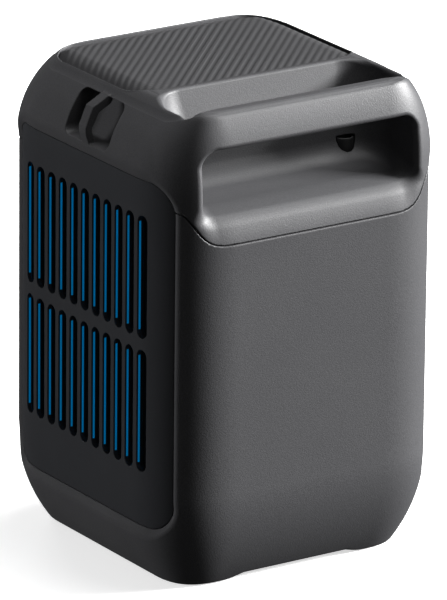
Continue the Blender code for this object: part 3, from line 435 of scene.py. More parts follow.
def capField(x, y, z):
    # the whole cap: hull, less the hand space, pad pocket, strap recesses and plug niches, plus the
    # strap bars, kept to the cap's zone and hollowed to a wall that follows every recess
    x, y, z = np.asarray(x, float), np.asarray(y, float), np.asarray(z, float)
    raw = hullField(x, y, z)
    body = dishedHull(x, y, z, raw)
    body, edge = topTrim(x, y, z, body)
    space = handField(x, y, z)
    atEnd = smoothStep(np.abs(x), *hand["endFrom"])
    lip = hand["edge"] + hand["endLip"] * atEnd * smoothStep(y, *hand["pastWall"])
    sideLip = hand["sideLip"] + (hand["lowLip"] - hand["sideLip"]) * smoothStep(-z, *hand["lowFrom"])
    mouth = smoothStep(y, *hand["mouthFrom"])
    lip = lip + (sideLip - lip) * mouth
    lip = lip + (hand["topLip"] - lip) * smoothStep(z, *hand["topFrom"]) * mouth
    body = cut(body, space, lip)
    body = cut(body, np.maximum(edge, -raw - pad["deep"]), pad["edge"])
    pocket = strapPocket(x, y, z)
    body = cut(body, pocket, strap["lip"])
    outline = polygon(np.abs(x), z, strapBarOutline())
    bar = meet(outline, np.abs(y - strap["centre"]) - strap["barHalf"], strap["barEdge"])
    body = weld(body, bar, strap["barWeld"])
    hole = np.sqrt((np.abs(x) - plug["x"]) ** 2 + (y - plug["y"]) ** 2) - plug["radius"] - gap
    niche = meet(np.maximum(hole, plug["floor"] - z), z - plug["nicheTop"], plug["nicheRound"])
    body = cut(body, niche, plug["nicheLip"])
    body = meet(body, capZone(x, y, z), cap["seamRound"])
    wall = cap["wall"]
    boss = np.maximum(hole - wall, plug["floor"] - wall - z)
    hollow = np.maximum(raw + wall + dish["depth"], z - bodyHeight + pad["deep"] + wall)
    solidBar = np.maximum(hand["barInner"] - hand["coreBehind"] - y, hand["coreLow"] - z)
    for kept in (space - wall, pocket - wall, boss, solidBar):
        hollow = np.maximum(hollow, -kept)
    return np.maximum(body, -hollow)


# the main shell: walls, skirt, openings for the panels, and the arch between the feet
shell = {
    "step": 0.0007, "tris": 190000, "wall": 0.0030, "seamRound": 0.0005,
    "openingFrom": 0.055, "openingRound": 0.0003,
    "frontHalf": 0.058, "frontLow": 0.046, "frontHigh": 0.188, "frontCorner": 0.012, "frontDeep": 0.060,
    "frontRound": 0.0006,
    "archHalf": 0.0295, "archFlare": 0.0085, "archDeep": 0.0030, "archRound": 0.0012,
    "footX": 0.051, "footHalf": 0.0093, "footLong": 0.0483, "footCorner": 0.0043, "footDeep": 0.0019,
    "footRound": 0.0003,
}


def shellField(x, y, z):
    # the shell: hull, less the cap's zone, the openings, the arch and the foot recesses, hollowed to a wall
    x, y, z = np.asarray(x, float), np.asarray(y, float), np.asarray(z, float)
    raw = hullField(x, y, z)
    body = dishedHull(x, y, z, raw)
    body = cut(body, capZone(x, y, z) - gap, shell["seamRound"])
    opening = np.maximum(panelBox(y, z) - gap, shell["openingFrom"] - np.abs(x))
    body = cut(body, opening, shell["openingRound"])
    middle = (shell["frontLow"] + shell["frontHigh"]) / 2
    tall = (shell["frontHigh"] - shell["frontLow"]) / 2
    front = roundRect(x, z - middle, shell["frontHalf"] + gap, tall + gap, shell["frontCorner"])
    body = cut(body, np.maximum(front, y + shell["frontDeep"]), shell["frontRound"])
    rampTop = (shell["archHalf"], shell["archDeep"])
    rampFoot = (shell["archHalf"] + shell["archFlare"], hull["ground"])
    arch = np.maximum(z - shell["archDeep"], below(np.abs(x), z, rampTop, rampFoot))
    body = cut(body, arch, shell["archRound"])
    recess = roundRect(np.abs(x) - shell["footX"], y, shell["footHalf"], shell["footLong"], shell["footCorner"])
    body = cut(body, np.maximum(recess, z - shell["footDeep"]), shell["footRound"])
    floor = hull["ground"] + shell["wall"] + shell["archDeep"]
    return np.maximum(body, -np.maximum(raw + shell["wall"] + dish["depth"], floor - z))


def buildMouldings():
    # each field is skinned in a box that clears its surface by a small margin
    clear = 0.001
    low = (-halfWidth - clear, -halfDepth - clear, cap["tongueLow"] - 2 * clear)
    high = (halfWidth + clear, halfDepth + clear, bodyHeight + clear)
    moulded("topCap", capField, low, high, cap["step"], cap["tris"], ["top_cap"], "shell_plastic")
    low = (-halfWidth - clear, -halfDepth - clear, -clear)
    high = (halfWidth + clear, halfDepth + clear, dish["top"] + 2 * clear)
    moulded("mainShell", shellField, low, high, shell["step"], shell["tris"], ["main_shell"], "shell_plastic")


# sheets with holes: a flat outline filled with triangles, laid on a surface, with rounded edges
filling = {  # shares of the spacing, and the smallest edge that is worth rounding
    "rowShare": 0.87, "rimClear": 0.45, "holeClear": 0.4, "leastEdge": 0.00015, "mergeWithin": 1e-7,
}


def loopRound(centreU, centreV, halfU, halfV, radius, turns, runs):
    # a rectangle with round corners as a function of how far it has grown: four quarter circles,
    # each followed by a straight run cut into equal lengths
    def ring(grow):
        r = max(radius + grow, 0.00001)
        right, up = halfU + grow - r, halfV + grow - r
        points = []
        for k, (u, v) in enumerate(((1, -1), (1, 1), (-1, 1), (-1, -1))):
            start = -90 + 90 * k
            points += arc(centreU + u * right, centreV + v * up, r, start, start + 90, turns)
            nextU, nextV = ((1, 1), (-1, 1), (-1, -1), (1, -1))[k]
            count = runs[0] if k % 2 == 0 else runs[1]
            a = np.array(points[-1])
            b = np.array(arc(centreU + nextU * right, centreV + nextV * up, r, start + 90, start + 91, 1)[0])
            points += [tuple(a + (b - a) * i / count) for i in range(1, count)]
        return np.array(points)
    return ring


def holedSheet(outer, holes, spacing, edge, place, thickness, collars=None, collarWide=0.0):
    # front and back faces share one filling of the outline, a staggered grid of points joined by a
    # constrained Delaunay triangulation; rings between them carry the rounded edges and the walls
    rim = outer(-edge)
    loops = [rim] + [hole(edge) for hole in holes]
    guides = [hole(collarWide) for hole in holes] if collars is not None else []
    low, high = rim.min(0), rim.max(0)
    columns = np.arange(low[0] + spacing / 2, high[0], spacing)
    rows = np.arange(low[1] + spacing / 2, high[1], spacing * filling["rowShare"])
    u, v = np.meshgrid(columns, rows)
    u = u + (np.arange(len(rows)) % 2)[:, None] * spacing / 2
    free = np.stack([u.ravel(), v.ravel()], 1)
    keep = insideOf(free, outer(-edge - spacing * filling["rimClear"]))
    for hole in holes:
        keep &= ~insideOf(free, hole(edge + max(collarWide - edge, 0) + spacing * filling["holeClear"]))
    free = free[keep]
    everything = np.concatenate(loops + guides + [free])
    edges, start = [], 0
    for loop in loops + guides:
        count = len(loop)
        edges += [(start + i, start + (i + 1) % count) for i in range(count)]
        start += count
    result = delaunay_2d_cdt([tuple(p) for p in everything], edges, [], 0, filling["mergeWithin"])
    flat = np.array([tuple(p) for p in result[0]])
    triangles = np.array(result[2])
    middle = flat[triangles].mean(1)
    keep = insideOf(middle, loops[0])
    for loop in loops[1:]:
        keep &= ~insideOf(middle, loop)
    triangles = triangles[keep]
    a, b, c = flat[triangles[:, 0]], flat[triangles[:, 1]], flat[triangles[:, 2]]
    area = (b[:, 0] - a[:, 0]) * (c[:, 1] - a[:, 1]) - (b[:, 1] - a[:, 1]) * (c[:, 0] - a[:, 0])
    triangles = np.where((area > 0)[:, None], triangles, triangles[:, ::-1])
    total = len(flat)
    origin = np.full(total, -1)
    for index, sources in enumerate(result[3]):
        if sources:
            origin[index] = min(sources)
    found = {source: index for index, source in enumerate(origin) if source >= 0}
    backFlat, backDeep = flat.copy(), np.full(total, thickness)
    points = [np.column_stack([flat, np.zeros(total)])]
    faces = [triangles]
    start, made = 0, 2 * total
    rings = []
    for k, ring in enumerate([outer] + list(holes)):
        grow = -1 if k == 0 else 1
        count = len(loops[k])
        index = np.array([found[start + i] for i in range(count)])
        start += count
        deep = np.full(count, thickness) if k == 0 or collars is None else collars(ring(0), thickness)
        backFlat[index], backDeep[index] = ring(0), deep
        previous = index
        for turn in (30, 60, 90) if edge > filling["leastEdge"] else (90,):
            angle = math.radians(turn)
            where = ring(grow * edge * (1 - math.sin(angle)))
            rings.append(np.column_stack([where, np.full(count, edge * (1 - math.cos(angle)))]))
            current = made + np.arange(count)
            made += count
            faces.append(joinRings(previous, current, k > 0))
            previous = current
        faces.append(joinRings(previous, index + total, k > 0))
    faces.append(triangles[:, ::-1] + total)
    points.append(np.column_stack([backFlat, backDeep]))
    points += rings
    points = np.concatenate(points)
    return place(points[:, 0], points[:, 1], points[:, 2]), np.concatenate(faces)


def joinRings(first, second, inner):
    # two triangles for each step along two equal closed rings
    a, b = first, np.roll(first, -1)
    c, d = second, np.roll(second, -1)
    pairs = np.concatenate([np.stack([a, c, b], 1), np.stack([b, c, d], 1)])
    return pairs if not inner else pairs[:, ::-1]


def insideOf(points, loop):
    # even-odd crossing count of a ray along +u
    hits = np.zeros(len(points), bool)
    for a, b in zip(loop, np.roll(loop, -1, axis=0)):
        if a[1] == b[1]:
            continue
        spans = (a[1] > points[:, 1]) != (b[1] > points[:, 1])
        cross = a[0] + (points[:, 1] - a[1]) / (b[1] - a[1]) * (b[0] - a[0])
        hits ^= spans & (points[:, 0] < cross)
    return hits


# the vented sides
vent = {
    "columns": 11, "pitch": 0.010, "width": 0.007, "length": 0.0616, "rowGap": 0.0057,
    "bottom": 0.0592, "shift": 0.0007, "nick": 0.0002, "endTurns": 12,
    "skin": 0.0009, "collar": 0.0021, "collarWide": 0.0008, "edge": 0.00022, "margin": 0.0045,
    "spacing": 0.0034, "cornerTurns": 10, "runs": (48, 40), "crease": 40,
    "accentDeep": 0.0011, "accent": 0.00085, "accentGrow": 0.0011, "frameDeep": 0.0022, "frame": 0.0018,
    "blockCorner": 0.005, "blockTurns": 4, "blockRuns": (12, 12), "blockSpacing": 0.006, "blockEdge": 0.0001,
    "blockCrease": 30,
}


def slotLoops(endGrow=0.0):
    # every slot of the vent: two straight runs in quarters, and two half circles
    loops = []
    radius, straight = vent["width"] / 2, vent["length"] - vent["width"]
    nick, turns = vent["nick"], vent["endTurns"]
    for row in range(2):
        low = vent["bottom"] + row * (vent["length"] + vent["rowGap"]) + radius
        for column in range(vent["columns"]):
            y = (column - (vent["columns"] - 1) / 2) * vent["pitch"] + vent["shift"]

            def ring(grow, y=y, low=low):
                r, end = radius + grow, radius + grow + endGrow
                up = [low + nick] + [low + straight * t for t in (0.25, 0.5, 0.75)] + [low + straight - nick]
                points = [(y + r, z) for z in up] + arc(y, low + straight, end, 0, 180, turns)
                points += [(y - r, z) for z in reversed(up)] + arc(y, low, end, 180, 360, turns)
                return np.array(points)
            loops.append(ring)
    return loops


def sidePlace(side, inset):
    # lays a flat (y, z) sheet on the side wall at an inset, each point as deep again as it asks
    def place(y, z, deep):
        x = hullX(y, z, inset) - deep
        return np.stack([side * x, y, z], 1)
    return place


def slotCollar(loop, thickness):
    # the wall runs deeper round the slot's two ends than along its straight sides
    straight = vent["length"] - vent["width"]
    radius = vent["width"] / 2
    low = vent["bottom"] + radius
    if loop[:, 1].mean() > vent["bottom"] + vent["length"]:
        low += vent["length"] + vent["rowGap"]
    near = vent["nick"] / 2
    atEnd = (loop[:, 1] > low + straight - near) | (loop[:, 1] < low + near)
    return np.where(atEnd, vent["collar"], thickness)


def creased(made, angle):
    # edges that turn by more than the angle, in degrees, shade sharp
    made.data.set_sharp_from_angle(angle=math.radians(angle))


def buildSide(side, word):
    # the slotted panel, the blue sheet behind it and the black frame behind both, one under another
    middle, tall = (dish["top"] + dish["bottom"]) / 2, (dish["top"] - dish["bottom"]) / 2
    outer = loopRound(0, middle, dish["half"], tall, dish["corner"], vent["cornerTurns"], vent["runs"])
    place = sidePlace(side, dish["depth"])
    points, faces = holedSheet(
        outer, slotLoops(), vent["spacing"], vent["edge"], place, vent["skin"], slotCollar, vent["collarWide"])
    faces = faces if side > 0 else faces[:, ::-1]
    panel = addMesh("sidePanel" + word, points, faces, ["side_panel_" + word.lower()], "panel_plastic")
    creased(panel, vent["crease"])
    ventHigh = vent["bottom"] + 2 * vent["length"] + vent["rowGap"] + vent["margin"]
    ventLow = vent["bottom"] - vent["margin"]
    halfVent = (vent["columns"] - 1) * vent["pitch"] / 2 + vent["width"] / 2 + vent["margin"] - gap
    middle, tall = (ventHigh + ventLow) / 2, (ventHigh - ventLow) / 2 - gap
    block = loopRound(
        vent["shift"], middle, halfVent, tall, vent["blockCorner"], vent["blockTurns"], vent["blockRuns"])
    blue = ("accentSheet", "accent_sheet_", vent["accentDeep"], vent["accent"], vent["accentGrow"])
    black = ("ventFrame", "vent_frame_", vent["frameDeep"], vent["frame"], 0.0)
    for (name, node, deep, thick, grow), slot in ((blue, "blue_plastic"), (black, "black_plastic")):
        place = sidePlace(side, dish["depth"] + deep)
        points, faces = holedSheet(
            block, slotLoops(grow), vent["blockSpacing"], vent["blockEdge"], place, thick)
        faces = faces if side > 0 else faces[:, ::-1]
        creased(addMesh(name + word, points, faces, [node + word.lower()], slot), vent["blockCrease"])


# the ribbed pad on top
ribs = {
    "pitch": 0.00370, "angle": 46.5, "deep": 0.00024, "waveFrom": (0.25, 0.80), "fadeFrom": (0.0008, 0.0022),
    "clear": 0.0003, "under": 0.0003, "thick": 0.0011, "rimDrop": 0.0004,
    "sink": 0.0017, "sinkWide": 0.0110, "farWide": 0.7, "farShare": 0.6,
    "rings": 110, "rimShares": (1.0, 1.0, 0.9975, 0.994), "innerShares": (0.985, 0.012),
    "cornerTurns": 28, "runs": (90, 130), "crease": 45, "search": 0.016, "halvings": 22,
}


def crownHeight(x, y):
    # height of the hull's top over a place: the interval that holds it is halved again and again
    low, high = np.full(x.shape, bodyHeight - ribs["search"]), np.full(x.shape, bodyHeight)
    for _ in range(ribs["halvings"]):
        middle = (low + high) / 2
        within = sectionField(x, y, middle) < 0
        low, high = np.where(within, middle, low), np.where(within, high, middle)
    return low


def buildPad():
    # the outline shrunk ring by ring towards the middle, each point laid on the crown, then lowered by
    # the ribs' eased cosine wave and by the sinking towards its edges
    halfU, halfV = pad["half"] - ribs["clear"], (pad["back"] - pad["front"]) / 2 - ribs["clear"]
    centreV = (pad["back"] + pad["front"]) / 2
    corner = pad["corner"] - ribs["clear"]
    outline = loopRound(0, 0, halfU, halfV, corner, ribs["cornerTurns"], ribs["runs"])(0)
    count = len(outline)
    shares = np.concatenate([ribs["rimShares"], np.linspace(*ribs["innerShares"], ribs["rings"])])
    flat = shares[:, None, None] * outline[None]
    u, v = flat[..., 0], flat[..., 1]
    angle = math.radians(ribs["angle"])
    across = -u * math.sin(angle) + (v + centreV) * math.cos(angle)
    wave = 0.5 + 0.5 * np.cos(2 * math.pi * across / ribs["pitch"])
    groove = smoothStep(wave, *ribs["waveFrom"])
    away = -roundRect(u, v, halfU, halfV, pad["corner"])
    fade = smoothStep(away, *ribs["fadeFrom"])
    endSlope = 1 - smoothStep(halfU - np.abs(u), 0.0, ribs["sinkWide"])
    farSlope = 1 - smoothStep(v + halfV, 0.0, ribs["sinkWide"] * ribs["farWide"])
    sink = ribs["sink"] * np.sqrt(endSlope ** 2 + farSlope ** 2 * ribs["farShare"])
    top = crownHeight(u, v + centreV) - ribs["under"] - sink - ribs["deep"] * groove * fade
    top[0] = top[1] - ribs["thick"]
    top[1] = top[1] - ribs["rimDrop"]
    points = np.stack([u, v + centreV, top], -1).reshape(-1, 3)
    step = np.arange(count)
    ahead = (step + 1) % count
    faces = []
    for k in range(len(shares) - 1):
        a, b = k * count, (k + 1) * count
        faces.append(np.stack([a + step, a + ahead, b + ahead, b + step], 1))
    quads = np.concatenate(faces)
    last = (len(shares) - 1) * count
    base = bodyHeight - ribs["thick"] - ribs["under"]
    middle = np.array([[0, centreV, points[last:, 2].mean()], [0, centreV, base]])
    points = np.concatenate([points, middle])
    top = len(points) - 2
    cover = np.stack([last + step, last + ahead, np.full(count, top)], 1)
    base = np.stack([ahead, step, np.full(count, top + 1)], 1)
    tris = np.concatenate([quads[:, [0, 1, 2]], quads[:, [0, 2, 3]], cover, base])
    creased(addMesh("topPad", points, tris, ["top_pad"], "pad_rubber"), ribs["crease"])


# the two plugs in the hand space
def turned(name, profile, centre, count, replaced, slot, angle):
    # a closed (radius, height) profile swung round an upright axis; it runs up its outer side first
    profile = np.array(profile)
    turn = np.linspace(0, 2 * math.pi, count, endpoint=False)
    radius, height = profile[:, 0][:, None], profile[:, 1][:, None]
    swung = [radius * np.cos(turn), radius * np.sin(turn), height + 0 * turn]
    points = np.stack(swung, -1).reshape(-1, 3) + np.array(centre)
    steps, laps = len(profile), np.arange(count)
    ahead = (laps + 1) % count
    quads = []
    for k in range(steps):
        a, b = k * count, ((k + 1) % steps) * count
        quads.append(np.stack([a + laps, a + ahead, b + ahead, b + laps], 1))
    quads = np.concatenate(quads)
    made = addMesh(name, points, quads, replaced, slot)
    closePoles(made, 0.000002)
    creased(made, angle)


def closePoles(made, distance):
    # points closer than the distance become one, and every face is turned outwards
    work = bmesh.new()
    work.from_mesh(made.data)
    bmesh.ops.remove_doubles(work, verts=work.verts, dist=distance)
    bmesh.ops.dissolve_degenerate(work, dist=distance / 2, edges=work.edges)
    bmesh.ops.recalc_face_normals(work, faces=work.faces)
    work.to_mesh(made.data)
    work.free()
    made.data.polygons.foreach_set("use_smooth", np.ones(len(made.data.polygons), bool))
    made.data.update()


def buildPlugs():
    # a black cup: outer wall, rounded rim, and a bore with a raised middle
    r, low, tall, bore = plug["radius"], plug["floor"] + gap, plug["height"], plug["bore"]
    top = low + tall
    profile = [(0.00001, low), (r, low), (r, top - 0.0008), (r - 0.0003, top - 0.0002), (r - 0.0008, top)]
    profile += [(bore + 0.0002, top), (bore, top - 0.0003), (bore - 0.0006, low + 0.0030)]
    profile += [(0.0016, low + 0.0024), (0.0012, low + 0.0032), (0.00001, low + 0.0034)]
    for side, word in ((1, "Right"), (-1, "Left")):
        centre, node = (side * plug["x"], plug["y"], 0), "handle_plug_" + word.lower()
        turned("handlePlug" + word, profile, centre, plug["turns"], [node], "black_plastic", plug["crease"])


# feet
foot = {
    "x": 0.051, "half": 0.0089, "long": 0.0479, "corner": 0.0040, "top": 0.0016, "round": 0.0004,
    "cornerTurns": 8, "runs": (24, 6), "crease": 50,
}


def buildFeet():
    # the outline shrunk at its lower edge along a quarter circle, run up straight, then closed by caps
    bend = foot["round"]
    for side, word in ((1, "Right"), (-1, "Left")):
        ring = loopRound(
            side * foot["x"], 0, foot["half"], foot["long"], foot["corner"], foot["cornerTurns"], foot["runs"])
        count = len(ring(0))
        rows = []
        for t in np.radians([90, 60, 30, 0]):
            shrunk, up = bend * (1 - math.cos(t)), bend * (1 - math.sin(t))
            rows.append(np.column_stack([ring(-shrunk), np.full(count, up)]))
        rows.append(np.column_stack([ring(0), np.full(count, foot["top"])]))
        points, faces = stacked(rows)
        made = addMesh("foot" + word, points, faces, ["rubber_foot_" + word.lower()], "foot_rubber")
        creased(made, foot["crease"])


def stacked(rows):
    # equal closed rings joined bottom to top, with a fan over each end
    count = len(rows[0])
    step = np.arange(count)
    ahead = (step + 1) % count
    quads = []
    for k in range(len(rows) - 1):
        a, b = k * count, (k + 1) * count
        quads.append(np.stack([a + step, a + ahead, b + ahead, b + step], 1))
    quads = np.concatenate(quads)
    points = np.concatenate(rows + [rows[0].mean(0)[None], rows[-1].mean(0)[None]])
    low, high = len(points) - 2, len(points) - 1
    last = (len(rows) - 1) * count
    under = np.stack([ahead, step, np.full(count, low)], 1)
    over = np.stack([last + step, last + ahead, np.full(count, high)], 1)
    return points, np.concatenate([quads[:, [0, 1, 2]], quads[:, [0, 2, 3]], under, over])


# finishes
palette = {  # colour, darker colour, roughness, grain size in metres, relief in metres, metallic
    "shell_plastic": ((0.068, 0.068, 0.072), (0.032, 0.032, 0.034), 0.50, 0.00058, 0.000085, 0.0),
    "panel_plastic": ((0.034, 0.035, 0.038), (0.022, 0.023, 0.026), 0.50, 0.00055, 0.000050, 0.0),
    "black_plastic": ((0.021, 0.021, 0.022), (0.013, 0.013, 0.014), 0.45, 0.00060, 0.000020, 0.0),
    "blue_plastic": ((0.004, 0.33, 0.74), (0.003, 0.28, 0.66), 0.42, 0.00060, 0.000015, 0.0),
    "pad_rubber": ((0.037, 0.037, 0.039), (0.023, 0.023, 0.025), 0.62, 0.00050, 0.000020, 0.0),
    "foot_rubber": ((0.020, 0.020, 0.021), (0.013, 0.013, 0.014), 0.80, 0.00070, 0.000030, 0.0),
    "clear_lens": ((0.010, 0.011, 0.012), (0.007, 0.008, 0.009), 0.10, 0.00300, 0.000004, 0.0),
    "light_lens_plastic": ((0.80, 0.79, 0.74), (0.72, 0.71, 0.66), 0.38, 0.00090, 0.000020, 0.0),
    "filter_foam": ((0.012, 0.012, 0.013), (0.004, 0.004, 0.005), 0.95, 0.00120, 0.000150, 0.0),
    "board_green": ((0.012, 0.085, 0.035), (0.006, 0.050, 0.020), 0.42, 0.00150, 0.000020, 0.0),
    "cell_blue": ((0.020, 0.085, 0.21), (0.015, 0.060, 0.16), 0.35, 0.00200, 0.000015, 0.0),
    "tray_plastic": ((0.035, 0.035, 0.037), (0.024, 0.024, 0.026), 0.60, 0.00080, 0.000040, 0.0),
    "sink_metal": ((0.62, 0.63, 0.65), (0.50, 0.51, 0.53), 0.36, 0.00060, 0.000012, 1.0),
    "contact_metal": ((0.66, 0.64, 0.60), (0.50, 0.49, 0.46), 0.28, 0.00050, 0.000008, 1.0),
    "ferrite": ((0.040, 0.038, 0.037), (0.025, 0.024, 0.023), 0.70, 0.00070, 0.000040, 0.0),
    "can_metal": ((0.55, 0.56, 0.58), (0.42, 0.43, 0.45), 0.30, 0.00080, 0.000008, 1.0),
    "button_plastic": ((0.050, 0.050, 0.053), (0.036, 0.036, 0.039), 0.46, 0.00055, 0.000030, 0.0),
}


mottle = {  # what every finish shares
    "specular": 0.38, "fineDetail": 2.0, "broadScale": 22.0, "broadDetail": 3.0,
    "broadShare": 0.35, "fineShare": 1.3, "fineBase": -0.32,
    "glossFrom": (0.3, 0.7), "glossSpread": 0.05,
}
extras = {
    "lensCoat": 0.6, "lensCoatRough": 0.04,
    "bluePaintedGlow": (0.0, 0.42, 1.0), "bluePaintedGlowStrength": 0.19,  # painted glow: the blue sheets give out a little light of their own, so they look brighter than the lamps make them
}


def makeFinish(word, colour, shade, roughness, grain, relief, metal):
    # two sizes of noise: a fine one for the moulded grain, in tone and relief, and a broad one for
    # slow changes of tone and gloss; tone = shade to colour by their weighted sum
    material = bpy.data.materials.new(word)
    material.use_nodes = True
    nodes, links = material.node_tree.nodes, material.node_tree.links
    shader = nodes["Principled BSDF"]
    shader.inputs["Metallic"].default_value = metal
    shader.inputs["Specular IOR Level"].default_value = mottle["specular"]
    place = nodes.new("ShaderNodeTexCoord").outputs["Object"]
    fine = nodes.new("ShaderNodeTexNoise")
    fine.inputs["Scale"].default_value = 1 / grain
    fine.inputs["Detail"].default_value = mottle["fineDetail"]
    broad = nodes.new("ShaderNodeTexNoise")
    broad.inputs["Scale"].default_value = mottle["broadScale"]
    broad.inputs["Detail"].default_value = mottle["broadDetail"]
    for noise in (fine, broad):
        links.new(place, noise.inputs["Vector"])
    blend = nodes.new("ShaderNodeMath")
    blend.operation = "MULTIPLY_ADD"
    blend.inputs[1].default_value = mottle["broadShare"]
    links.new(broad.outputs["Fac"], blend.inputs[0])
    part = nodes.new("ShaderNodeMath")
    part.operation = "MULTIPLY_ADD"
    part.inputs[1].default_value = mottle["fineShare"]
    part.inputs[2].default_value = mottle["fineBase"]
    links.new(fine.outputs["Fac"], part.inputs[0])
    links.new(part.outputs[0], blend.inputs[2])
    tone = nodes.new("ShaderNodeMix")
    tone.data_type = "RGBA"
    tone.inputs[6].default_value = (*shade, 1)
    tone.inputs[7].default_value = (*colour, 1)
    links.new(blend.outputs[0], tone.inputs[0])
    links.new(tone.outputs[2], shader.inputs["Base Color"])
    gloss = nodes.new("ShaderNodeMapRange")
    gloss.inputs["From Min"].default_value, gloss.inputs["From Max"].default_value = mottle["glossFrom"]
    gloss.inputs["To Min"].default_value = roughness + mottle["glossSpread"]
    gloss.inputs["To Max"].default_value = roughness - mottle["glossSpread"]
    links.new(broad.outputs["Fac"], gloss.inputs["Value"])
    links.new(gloss.outputs["Result"], shader.inputs["Roughness"])
    bump = nodes.new("ShaderNodeBump")
    bump.inputs["Strength"].default_value = 1.0
    bump.inputs["Distance"].default_value = relief
    links.new(fine.outputs["Fac"], bump.inputs["Height"])
    links.new(bump.outputs["Normal"], shader.inputs["Normal"])
    return material


def glow(material, colour, strength):
    # a little light of its own, added to what the surface reflects
    shader = material.node_tree.nodes["Principled BSDF"]
    shader.inputs["Emission Color"].default_value = (*colour, 1)
    shader.inputs["Emission Strength"].default_value = strength


def paint():
    # each new piece takes the finish of its slot, and each CAD node that of its own slots' names
    finishes = {word: makeFinish(word + "Finish", *values) for word, values in palette.items()}
    lens = finishes["clear_lens"].node_tree.nodes["Principled BSDF"]
    lens.inputs["Coat Weight"].default_value = extras["lensCoat"]
    lens.inputs["Coat Roughness"].default_value = extras["lensCoatRough"]
    # painted glow on the blue sheets: emission lifts them above the brightness their lighting gives
    glow(finishes["blue_plastic"], extras["bluePaintedGlow"], extras["bluePaintedGlowStrength"])
    for made, word in newPieces:
        made.data.materials.clear()
        made.data.materials.append(finishes[word])
    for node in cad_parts.values():
        for holder in node.material_slots:
            word = holder.material.name.split(".")[0]
            holder.material = finishes.get(word, finishes["black_plastic"])


# floor, light and camera
studio = {
    "floor": 14.0, "floorColour": (0.88, 0.88, 0.88), "floorShade": 0.97, "floorGlow": 0.65,
    "floorRough": 0.75, "floorGrain": 0.004, "floorRelief": 0.00002,
    "bright": 0.16, "dim": 0.04, "towards": (-0.60, 0.40, 0.70), "dimFrom": -0.6, "lampsLookAt": (0, 0, 0.12),
    "key": {"at": (-2.55, 1.20, 1.15), "size": (0.9, 0.8), "watts": 360.0},
    "fill": {"at": (2.30, -2.00, 0.10), "size": (1.2, 1.2), "watts": 135.0, "shine": False},
    "front": {"at": (-1.30, -2.90, 0.24), "size": (1.2, 0.9), "watts": 110.0, "shine": False},
    "sun": {"from": (-0.36, 0.06, 1.0), "strength": 2.2, "soft": 36.0},
}
view = {
    "azimuth": 56.56, "height": 18.59, "roll": 0.59, "away": 3.6613,  # degrees and metres
    "lens": 450.5, "sensor": 36.0, "shift": (0.0035, -0.0079), "farthest": 100.0,
}


def buildFloor():
    # one pale square under the object, which glows a little so that it stays nearly white
    half = studio["floor"] / 2
    points = np.array([(-half, -half, 0), (half, -half, 0), (half, half, 0), (-half, half, 0)], float)
    mesh = bpy.data.meshes.new("floor")
    mesh.from_pydata(points.tolist(), [], [(0, 1, 2, 3)])
    floor = bpy.data.objects.new("floor", mesh)
    bpy.context.scene.collection.objects.link(floor)
    floor.visible_diffuse = False  # the paper doesn't throw its white back up the sides
    floor.visible_glossy = False
    colour = studio["floorColour"]
    shade = tuple(studio["floorShade"] * c for c in colour)
    paper = makeFinish(
        "floorFinish", colour, shade, studio["floorRough"], studio["floorGrain"], studio["floorRelief"], 0.0)
    glow(paper, (1, 1, 1), studio["floorGlow"])
    mesh.materials.append(paper)


def addSoftbox(name, settings):
    # a rectangle of light turned towards the object's middle
    light = bpy.data.lights.new(name, "AREA")
    light.shape = "RECTANGLE"
    light.size, light.size_y = settings["size"]
    light.energy = settings["watts"]
    lamp = bpy.data.objects.new(name, light)
    lamp.location = settings["at"]
    aim = Vector(studio["lampsLookAt"]) - lamp.location
    lamp.rotation_euler = aim.to_track_quat("-Z", "Y").to_euler()
    lamp.visible_glossy = settings.get("shine", True)
    bpy.context.scene.collection.objects.link(lamp)


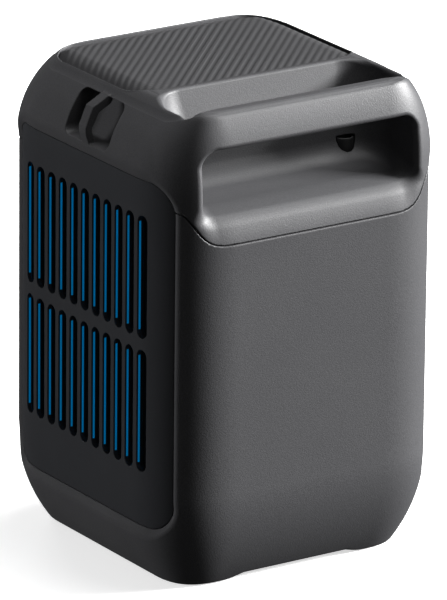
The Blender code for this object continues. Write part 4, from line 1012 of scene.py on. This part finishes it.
def buildWorld():
    # a sky whose strength eases from dim to bright by the cosine between a direction and the bright one
    world = bpy.data.worlds.new("studio")
    world.use_nodes = True
    nodes, links = world.node_tree.nodes, world.node_tree.links
    direction = nodes.new("ShaderNodeTexCoord").outputs["Generated"]
    facing = nodes.new("ShaderNodeVectorMath")
    facing.operation = "DOT_PRODUCT"
    facing.inputs[1].default_value = Vector(studio["towards"]).normalized()
    links.new(direction, facing.inputs[0])
    level = nodes.new("ShaderNodeMapRange")
    level.interpolation_type = "SMOOTHSTEP"
    level.inputs["From Min"].default_value = studio["dimFrom"]
    level.inputs["To Min"].default_value = studio["dim"]
    level.inputs["To Max"].default_value = studio["bright"]
    links.new(facing.outputs["Value"], level.inputs["Value"])
    links.new(level.outputs["Result"], nodes["Background"].inputs["Strength"])
    nodes["Background"].inputs["Color"].default_value = (1, 1, 1, 1)
    bpy.context.scene.world = world


def buildStudio():
    # sky, three softboxes and a soft sun overhead
    scene = bpy.context.scene
    buildWorld()
    scene.view_settings.view_transform = "Standard"
    addSoftbox("keyLight", studio["key"])
    addSoftbox("fillLight", studio["fill"])
    addSoftbox("frontLight", studio["front"])
    sun = bpy.data.lights.new("topLight", "SUN")
    sun.energy = studio["sun"]["strength"]
    sun.angle = math.radians(studio["sun"]["soft"])
    overhead = bpy.data.objects.new("topLight", sun)
    overhead.rotation_euler = Vector(studio["sun"]["from"]).to_track_quat("Z", "Y").to_euler()
    scene.collection.objects.link(overhead)


def placeCamera():
    # on a sphere round the object's middle, at an azimuth from +X and a height, rolled about its own axis
    scene = bpy.context.scene
    psi, phi = math.radians(view["azimuth"]), math.radians(view["height"])
    outward = Vector((math.cos(psi) * math.cos(phi), math.sin(psi) * math.cos(phi), math.sin(phi)))
    camera = bpy.data.objects.new("camera", bpy.data.cameras.new("camera"))
    target = Vector((0, 0, bodyHeight / 2))
    roll = Matrix.Rotation(math.radians(view["roll"]), 4, "Z")
    turn = outward.to_track_quat("Z", "Y").to_matrix().to_4x4() @ roll
    camera.matrix_world = Matrix.Translation(target + outward * view["away"]) @ turn
    camera.data.lens = view["lens"]
    camera.data.sensor_width = view["sensor"]
    camera.data.clip_end = view["farthest"]
    camera.data.shift_x, camera.data.shift_y = view["shift"]
    scene.collection.objects.link(camera)
    scene.camera = camera


buildMouldings()
print("mouldings done")
for side, word in ((1, "Right"), (-1, "Left")):
    buildSide(side, word)
print("vented sides done")
buildPad()
buildFeet()
buildPlugs()
print("pad, feet and plugs done")
paint()
buildFloor()
buildStudio()
placeCamera()
print("finishes and studio done")
